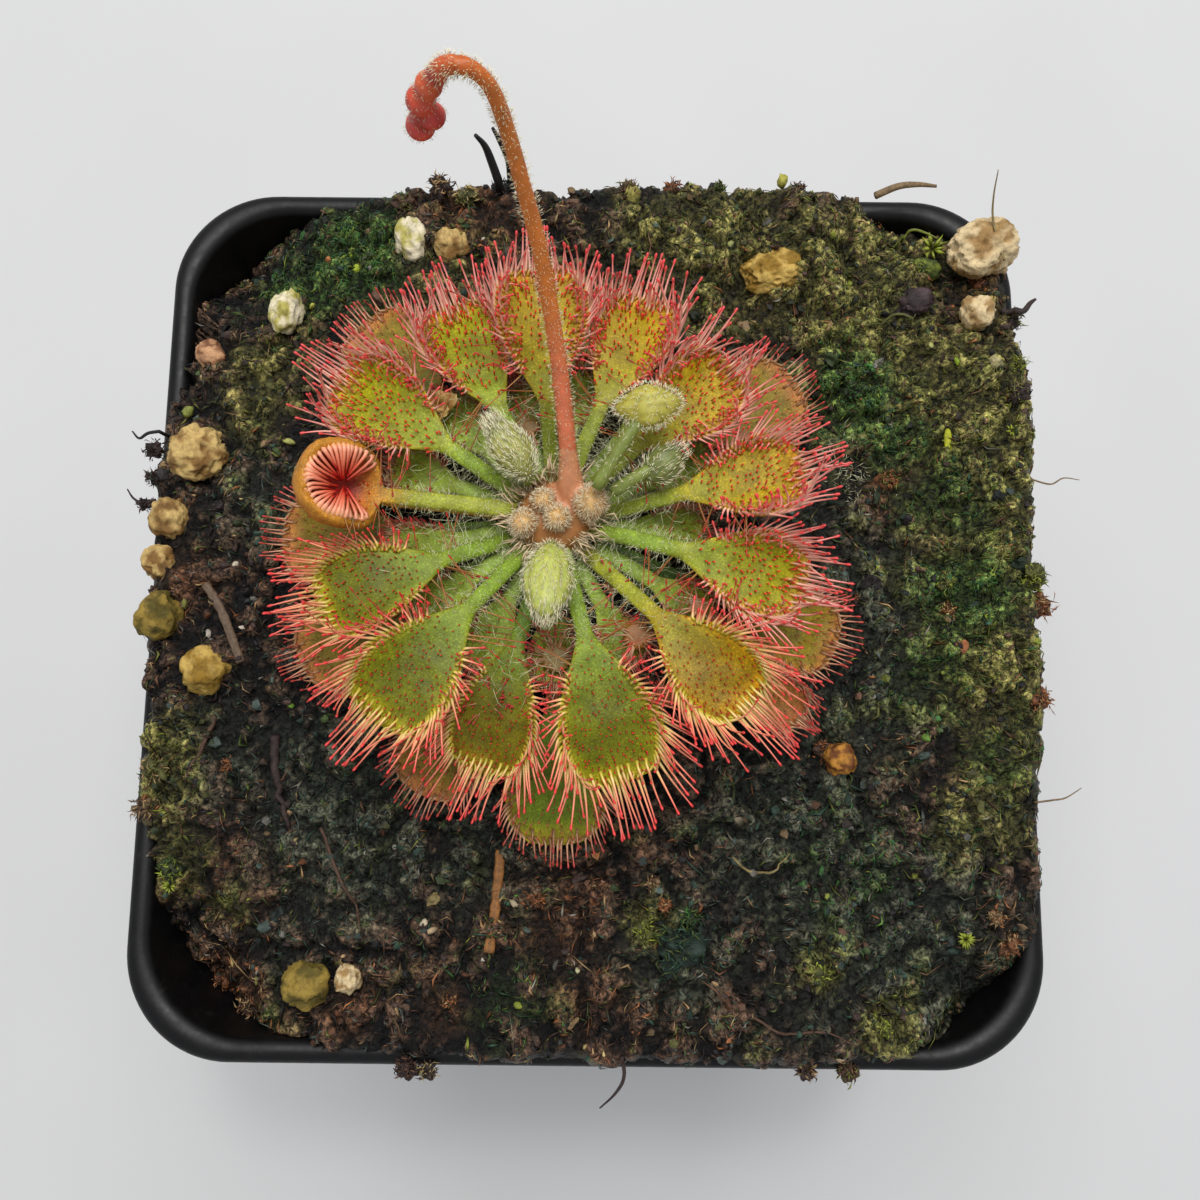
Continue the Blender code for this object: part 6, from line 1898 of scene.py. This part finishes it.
def make_strands(peat):
    """Loose fibres all over the peat."""
    draw = draws("strands")
    x, y = peat.open_places(STRANDS, draw)
    count = len(x)
    length = draw.gamma(3.0, 0.32, count) + 0.4
    radius = 0.03 + draw.gamma(2.0, 0.018, count)
    tones = growing_tones(x, y, draw)
    shape = lay_strands(peat, x, y, tones, draw, length, radius, draw.uniform(0.03, 0.4, count))
    place_piece("peat_strands", shape, "strand", "peat", keep_map=True)


def make_moss(peat):
    """Short green strands, standing up a little, where moss grows."""
    draw = draws("moss")
    x, y = peat.open_places(MOSS_TRIES, draw)
    emerald, olive = patch_share("emerald", x, y), patch_share("olive", x, y)
    chance = np.maximum(emerald, olive * 0.5)
    keep = np.flatnonzero(draw.uniform(0, 1, len(x)) ** 0.7 < chance)[:MOSS_STRANDS]
    x, y, emerald, olive = x[keep], y[keep], emerald[keep], olive[keep]
    names = list(TONES)
    green = emerald > olive * 0.7 * draw.uniform(0.2, 1.6, len(x))
    deep = draw.choice([names.index(tone) for tone in ("emerald", "dark_moss", "teal", "lime")], len(x),
                       p=[0.5, 0.26, 0.16, 0.08])
    dull = draw.choice([names.index(tone) for tone in ("olive", "dark_moss", "lime", "brown")], len(x),
                       p=[0.5, 0.3, 0.08, 0.12])
    shape = lay_strands(peat, x, y, np.where(green, deep, dull), draw, draw.uniform(0.5, 1.3, len(x)),
                        draw.uniform(0.03, 0.065, len(x)), draw.uniform(0.15, 0.6, len(x)))
    place_piece("moss_strands", shape, "strand", "peat", keep_map=True)


def make_crumbs(peat):
    """Sharp-edged crumbs, chips and clods of peat."""
    draw = draws("crumbs")
    shape = Shape()
    for count, low, high, level in CRUMBS:
        x, y = peat.open_places(count, draw)
        count = len(x)
        size = draw.uniform(low, high, (count, 1)) * draw.uniform(0.35, 1.5, (count, 3))
        z = peat.height(x, y) + size.min(axis=1) * 0.4
        shades = np.array([paint(*tone) for tone in TONES.values()])[growing_tones(x, y, draw)]
        lit = ease(peat.read(peat.relief, x, y) + 0.6)[:, None]
        shades = shades * (0.2 + draw.gamma(2.0, 0.45, (count, 1)) * lit)
        points, faces = blobs(np.stack([x, y, z], -1), size, level, random_turns(count, 5), 0.35, 4)
        shape.add(points, faces, np.minimum(np.repeat(shades, len(ball(level)[0]), axis=0), 0.6))
    place_piece("peat_crumbs", shape, "soil", "peat", flat=True)


def make_clumps(peat):
    """Clumps of peat and moss that stand out of the rest, each a rough lump bristling with strands."""
    draw = draws("clumps")
    names = list(TONES)
    lumps, fringe = Shape(), Shape()
    base, faces = ball(3)
    for clump in map(Clump._make, CLUMPS):
        z = peat.ground(clump.x, clump.y) + 0.15 * clump.size
        if over_rim(clump.x, clump.y):
            z = clump.height - 0.35 * clump.size
        centre = np.array([clump.x, clump.y, z])
        rough = noise_at(base, 1.3, centre) + 0.6 * noise_at(base, 3.5, centre)
        # Painted shade: each lump is painted darker, down to a third of its tone, where its rough skin
        # dips in.
        tint = blend(paint(*TONES[clump.tone]) * 0.35, paint(*TONES[clump.tone]), ease(rough + 0.45))
        core = base * clump.size * 0.6 * (1 + 0.95 * rough[:, None]) * (1, 1, 0.8)
        lumps.add(centre + core, [faces], tint)
        count = int(46 * clump.size) + 20
        ways = unit(draw.normal(size=(count, 3)) + (0, 0, 0.7))
        starts = centre + ways * clump.size * draw.uniform(0.3, 0.75, (count, 1))
        swirl = np.cross(ways, draw.normal(size=(count, 3)))
        swirl = unit(swirl + ways * draw.uniform(-0.1, 0.7, (count, 1)))
        ends = starts + swirl * draw.uniform(0.4, 1.1, (count, 1)) * (0.5 + 0.4 * clump.size)
        tones = draw.choice([names.index(clump.tone), names.index(clump.fringe)], count)
        points, groups = strands(bent(starts, ends, FIBRE_BEND, draw), draw.uniform(*FRINGE_RADII, count))
        spots = tone_spots(tones, draw.uniform(0.25, 1.0, count), draw)
        fringe.add(points, groups, spot=spread(spots[:, None], 5))
    place_piece("peat_clumps", lumps, "soil", "peat")
    place_piece("clump_strands", fringe, "strand", "peat", keep_map=True)


def make_bits(peat):
    """Pale bits, roots that lie about or stick out, and a sliver of a leaf."""
    draw = draws("bits")
    shape = Shape()
    base, faces = ball(2)
    turns = random_turns(len(BITS), 6)
    for bit, turn in zip(map(Bit._make, BITS), turns):
        rough = 1 + 0.25 * draw.uniform(-1, 1, (len(base), 1))
        points = base * rough * bit.size * np.array([1.0, 0.75, 0.5])
        z = bit.height - 0.3 if over_rim(bit.x, bit.y) else peat.ground(bit.x, bit.y) + 0.3 * bit.size
        shape.add(points @ turn.T + (bit.x, bit.y, z), [faces], paint(*bit.tone))
    sliver = base * SLIVER_SIZE * (1 - 0.4 * base[:, 1:2] ** 2)
    shape.add(sliver + (*SLIVER, peat.ground(*SLIVER) + 0.35), [faces], paint(*SLIVER_COLOUR))
    for root in map(Root._make, ROOTS):
        route = smooth_route(root.route, 16)
        ground = peat.height(route[:, 0], route[:, 1])
        lying = (np.abs(route[:, 2] - ground) < 2.0) & ~over_rim(route[:, 0], route[:, 1])
        route[:, 2] = np.where(lying, ground + root.radius * 0.6, route[:, 2])
        radii = root.radius * np.interp(np.linspace(0, 1, 16), [0, 0.5, 1], [1.0, 0.85, 0.4])
        shape.add(*tubes([route], radii, 7), paint(*TONES[root.tone]))
    place_piece("peat_bits", shape, "soil", "peat")


def make_stars(peat):
    """Tiny moss rosettes, and fine white threads of mould by one leaf."""
    draw = draws("stars")
    leaves, threads = Shape(), Shape()
    lime = list(TONES).index("lime")
    for star in STARS:
        out = level_ways(np.arange(star.leaves) * 2.4, 0.45)
        starts = np.tile([star.x, star.y, peat.ground(star.x, star.y) + 0.25], (star.leaves, 1))
        ends = starts + out * star.reach * draw.uniform(0.75, 1.0, (star.leaves, 1))
        points, faces = strands(bent(starts, ends, 0.05, draw), 0.15 * star.reach)
        spots = tone_spots(np.full(star.leaves, lime), draw.uniform(0.5, 0.9, star.leaves), draw)
        leaves.add(points, faces, spot=spread(spots[:, None], 5))
    place_piece("moss_rosettes", leaves, "strand", "peat", keep_map=True)
    count = MOULD_THREADS
    x, y = np.array(MOULD)[:, None] + draw.normal(size=(2, count)) * MOULD_SPREAD
    starts = np.stack([x, y, peat.height(x, y) + 0.1], axis=1)
    ends = starts + unit(draw.normal(size=(count, 3)) * (1, 1, 0.4)) * draw.uniform(0.5, 1.6, (count, 1))
    ends[:, 2] = np.maximum(ends[:, 2], peat.height(ends[:, 0], ends[:, 1]) + 0.15)
    threads.add(*strands(bent(starts, ends, FIBRE_BEND, draw), HAIR_RADII["mould"]))
    place_piece("mould_threads", threads, "hair", "peat")


# Grains and twigs
def make_grain(grain):
    """Porous grain on the lump of the part's source."""
    base, faces = ball(5 if max(grain.width, grain.depth) > LARGE_GRAIN else 4)
    shift = Vector((grain.x, grain.y, 0))
    radius, mark = [], []
    for way in base:
        way = Vector(way)
        lumps = GRAIN_ROUGHNESS * noise.noise(way * GRAIN_LUMPS + shift)
        pits = min(0.0, noise.noise(way * 4.0 + shift) + 0.05) * PIT_DEPTH
        flats = FLAT_DEPTH * noise.cell(way * 1.6 + shift)
        radius.append(1 + lumps + pits + flats + FINE_DEPTH * noise.noise(way * 8 + shift))
        mark.append(noise.noise(way * 1.5 + shift * 2) + 0.4 * noise.noise(way * 5 + shift))
    half = np.array([grain.width, grain.depth, grain.tall]) / 2
    turn = np.array(Matrix.Rotation(math.radians(grain.turn), 3, "Z"))
    radius, mark = np.array(radius), np.array(mark)
    points = (base * radius[:, None] * half) @ turn.T + (grain.x, grain.y, grain.height)
    light, stain = GRAIN_COLOURS[grain.look]
    shape = Shape()
    shape.add(points, [faces], blend(light, stain, ease(mark * 1.9 + 0.4 + (1.0 - radius) * 1.2)))
    slot = {"green_pebble": "pebble", "bark_chip": "bark"}.get(grain.name, "perlite")
    look = "soil" if grain.look == "bark" else "grain"
    place_piece(grain.name + "_skin", shape, look, slot, grain.name)


def make_twig(twig):
    """Dry twig whose bark's ridges are only painted: stripes of painted shade stand for its grooves."""
    route = smooth_route([(x, y, peat_height(x, y) + twig.lift) for x, y in twig.route], TWIG_STEPS)
    draw = draws("twig")
    waves = 0.85 + 0.05 * np.sin(np.arange(TWIG_STEPS) * 0.9)
    radii = twig.radius * (waves + draw.uniform(-0.05, 0.05, TWIG_STEPS))
    points, faces = tubes([route], radii, TWIG_SIDES)
    tone = paint(*TWIG_TONES[twig.name])
    # Painted shade: every third point round the twig is painted darker, as stripes for the bark's
    # grooves.
    painted_groove_shade = 1 - GROOVE_SHADE * (np.arange(len(points)) % TWIG_SIDES % 3 == 0)
    shape = Shape()
    shape.add(points, faces, tone * painted_groove_shade[:, None])
    place_piece(twig.name + "_bark", shape, "soil", "twig", twig.name)


# Camera, light and floor
def make_camera():
    """Camera at the photograph's place, looking down on the plant."""
    data = bpy.data.cameras.new("camera")
    data.lens = CAMERA_LENS
    data.sensor_width = CAMERA_SENSOR
    data.clip_start = CAMERA_NEAR
    camera = link_object("camera", data)
    bpy.context.scene.camera = camera
    yaw, pitch, roll = (math.radians(a) for a in (CAMERA_YAW, CAMERA_PITCH, CAMERA_ROLL))
    level = Vector((math.cos(yaw), -math.sin(yaw), 0))
    ahead = Vector((math.sin(yaw), math.cos(yaw), 0))
    forward = ahead * math.cos(pitch) - Vector((0, 0, math.sin(pitch)))
    above = level.cross(forward)
    right = level * math.cos(roll) + above * math.sin(roll)
    upward = -level * math.sin(roll) + above * math.cos(roll)
    turn = Matrix((right, upward, -forward)).transposed().to_4x4()
    x, y, z = CAMERA_PLACE
    camera.matrix_world = Matrix.Translation((x * MM, y * MM, (z + POT_HEIGHT) * MM)) @ turn


def add_light(light):
    """Square soft light that faces the plant."""
    data = bpy.data.lights.new(light.name, "AREA")
    data.shape = "SQUARE"
    data.size = light.size
    data.energy = light.power
    data.color = light.colour
    lamp = link_object(light.name, data)
    lamp.location = light.place
    lamp.rotation_euler = (Vector(LIGHT_AIM) - Vector(light.place)).to_track_quat("-Z", "Y").to_euler()


def limit_bounces(scene):
    """Few bounces are enough for soft light on a plant."""
    cycles = scene.cycles
    cycles.max_bounces = 6
    cycles.diffuse_bounces = 2
    cycles.glossy_bounces = 2
    cycles.transmission_bounces = 4
    cycles.caustics_reflective = False
    cycles.caustics_refractive = False


def make_studio():
    """Pale floor, soft light from above and behind, and an even pale surrounding."""
    scene = bpy.context.scene
    mesh = bpy.data.meshes.new("floor")
    corners = [(x * FLOOR_HALF, y * FLOOR_HALF, 0) for x, y in ((-1, -1), (1, -1), (1, 1), (-1, 1))]
    mesh.from_pydata(corners, [], [(0, 1, 2, 3)])
    mesh.materials.append(floor_look())
    floor = link_object("floor", mesh)
    world = bpy.data.worlds.new("studio")
    world.use_nodes = True
    background = world.node_tree.nodes["Background"]
    background.inputs["Color"].default_value = AIR_COLOUR
    background.inputs["Strength"].default_value = AIR_STRENGTH
    scene.world = world
    for light in LIGHTS:
        add_light(light)
    scene.view_settings.view_transform = "Standard"
    scene.view_settings.look = "None"
    limit_bounces(scene)


def main():
    """Build everything."""
    make_camera()
    make_studio()
    make_pot()
    forms, tree = make_leaves()
    make_petiole_hairs(forms)
    make_tangle()
    make_rosettes()
    make_dried_leaf()
    make_crown()
    for owner, bud in enumerate(YOUNG_LEAVES):
        make_young_leaf(bud, owner)
    make_flower_stalk()
    make_flower_buds()
    peat = Peat(tree)
    peat.make()
    make_strands(peat)
    make_moss(peat)
    make_crumbs(peat)
    make_clumps(peat)
    make_bits(peat)
    make_stars(peat)
    for grain in GRAINS:
        make_grain(grain)
    for twig in TWIGS:
        make_twig(twig)


main()
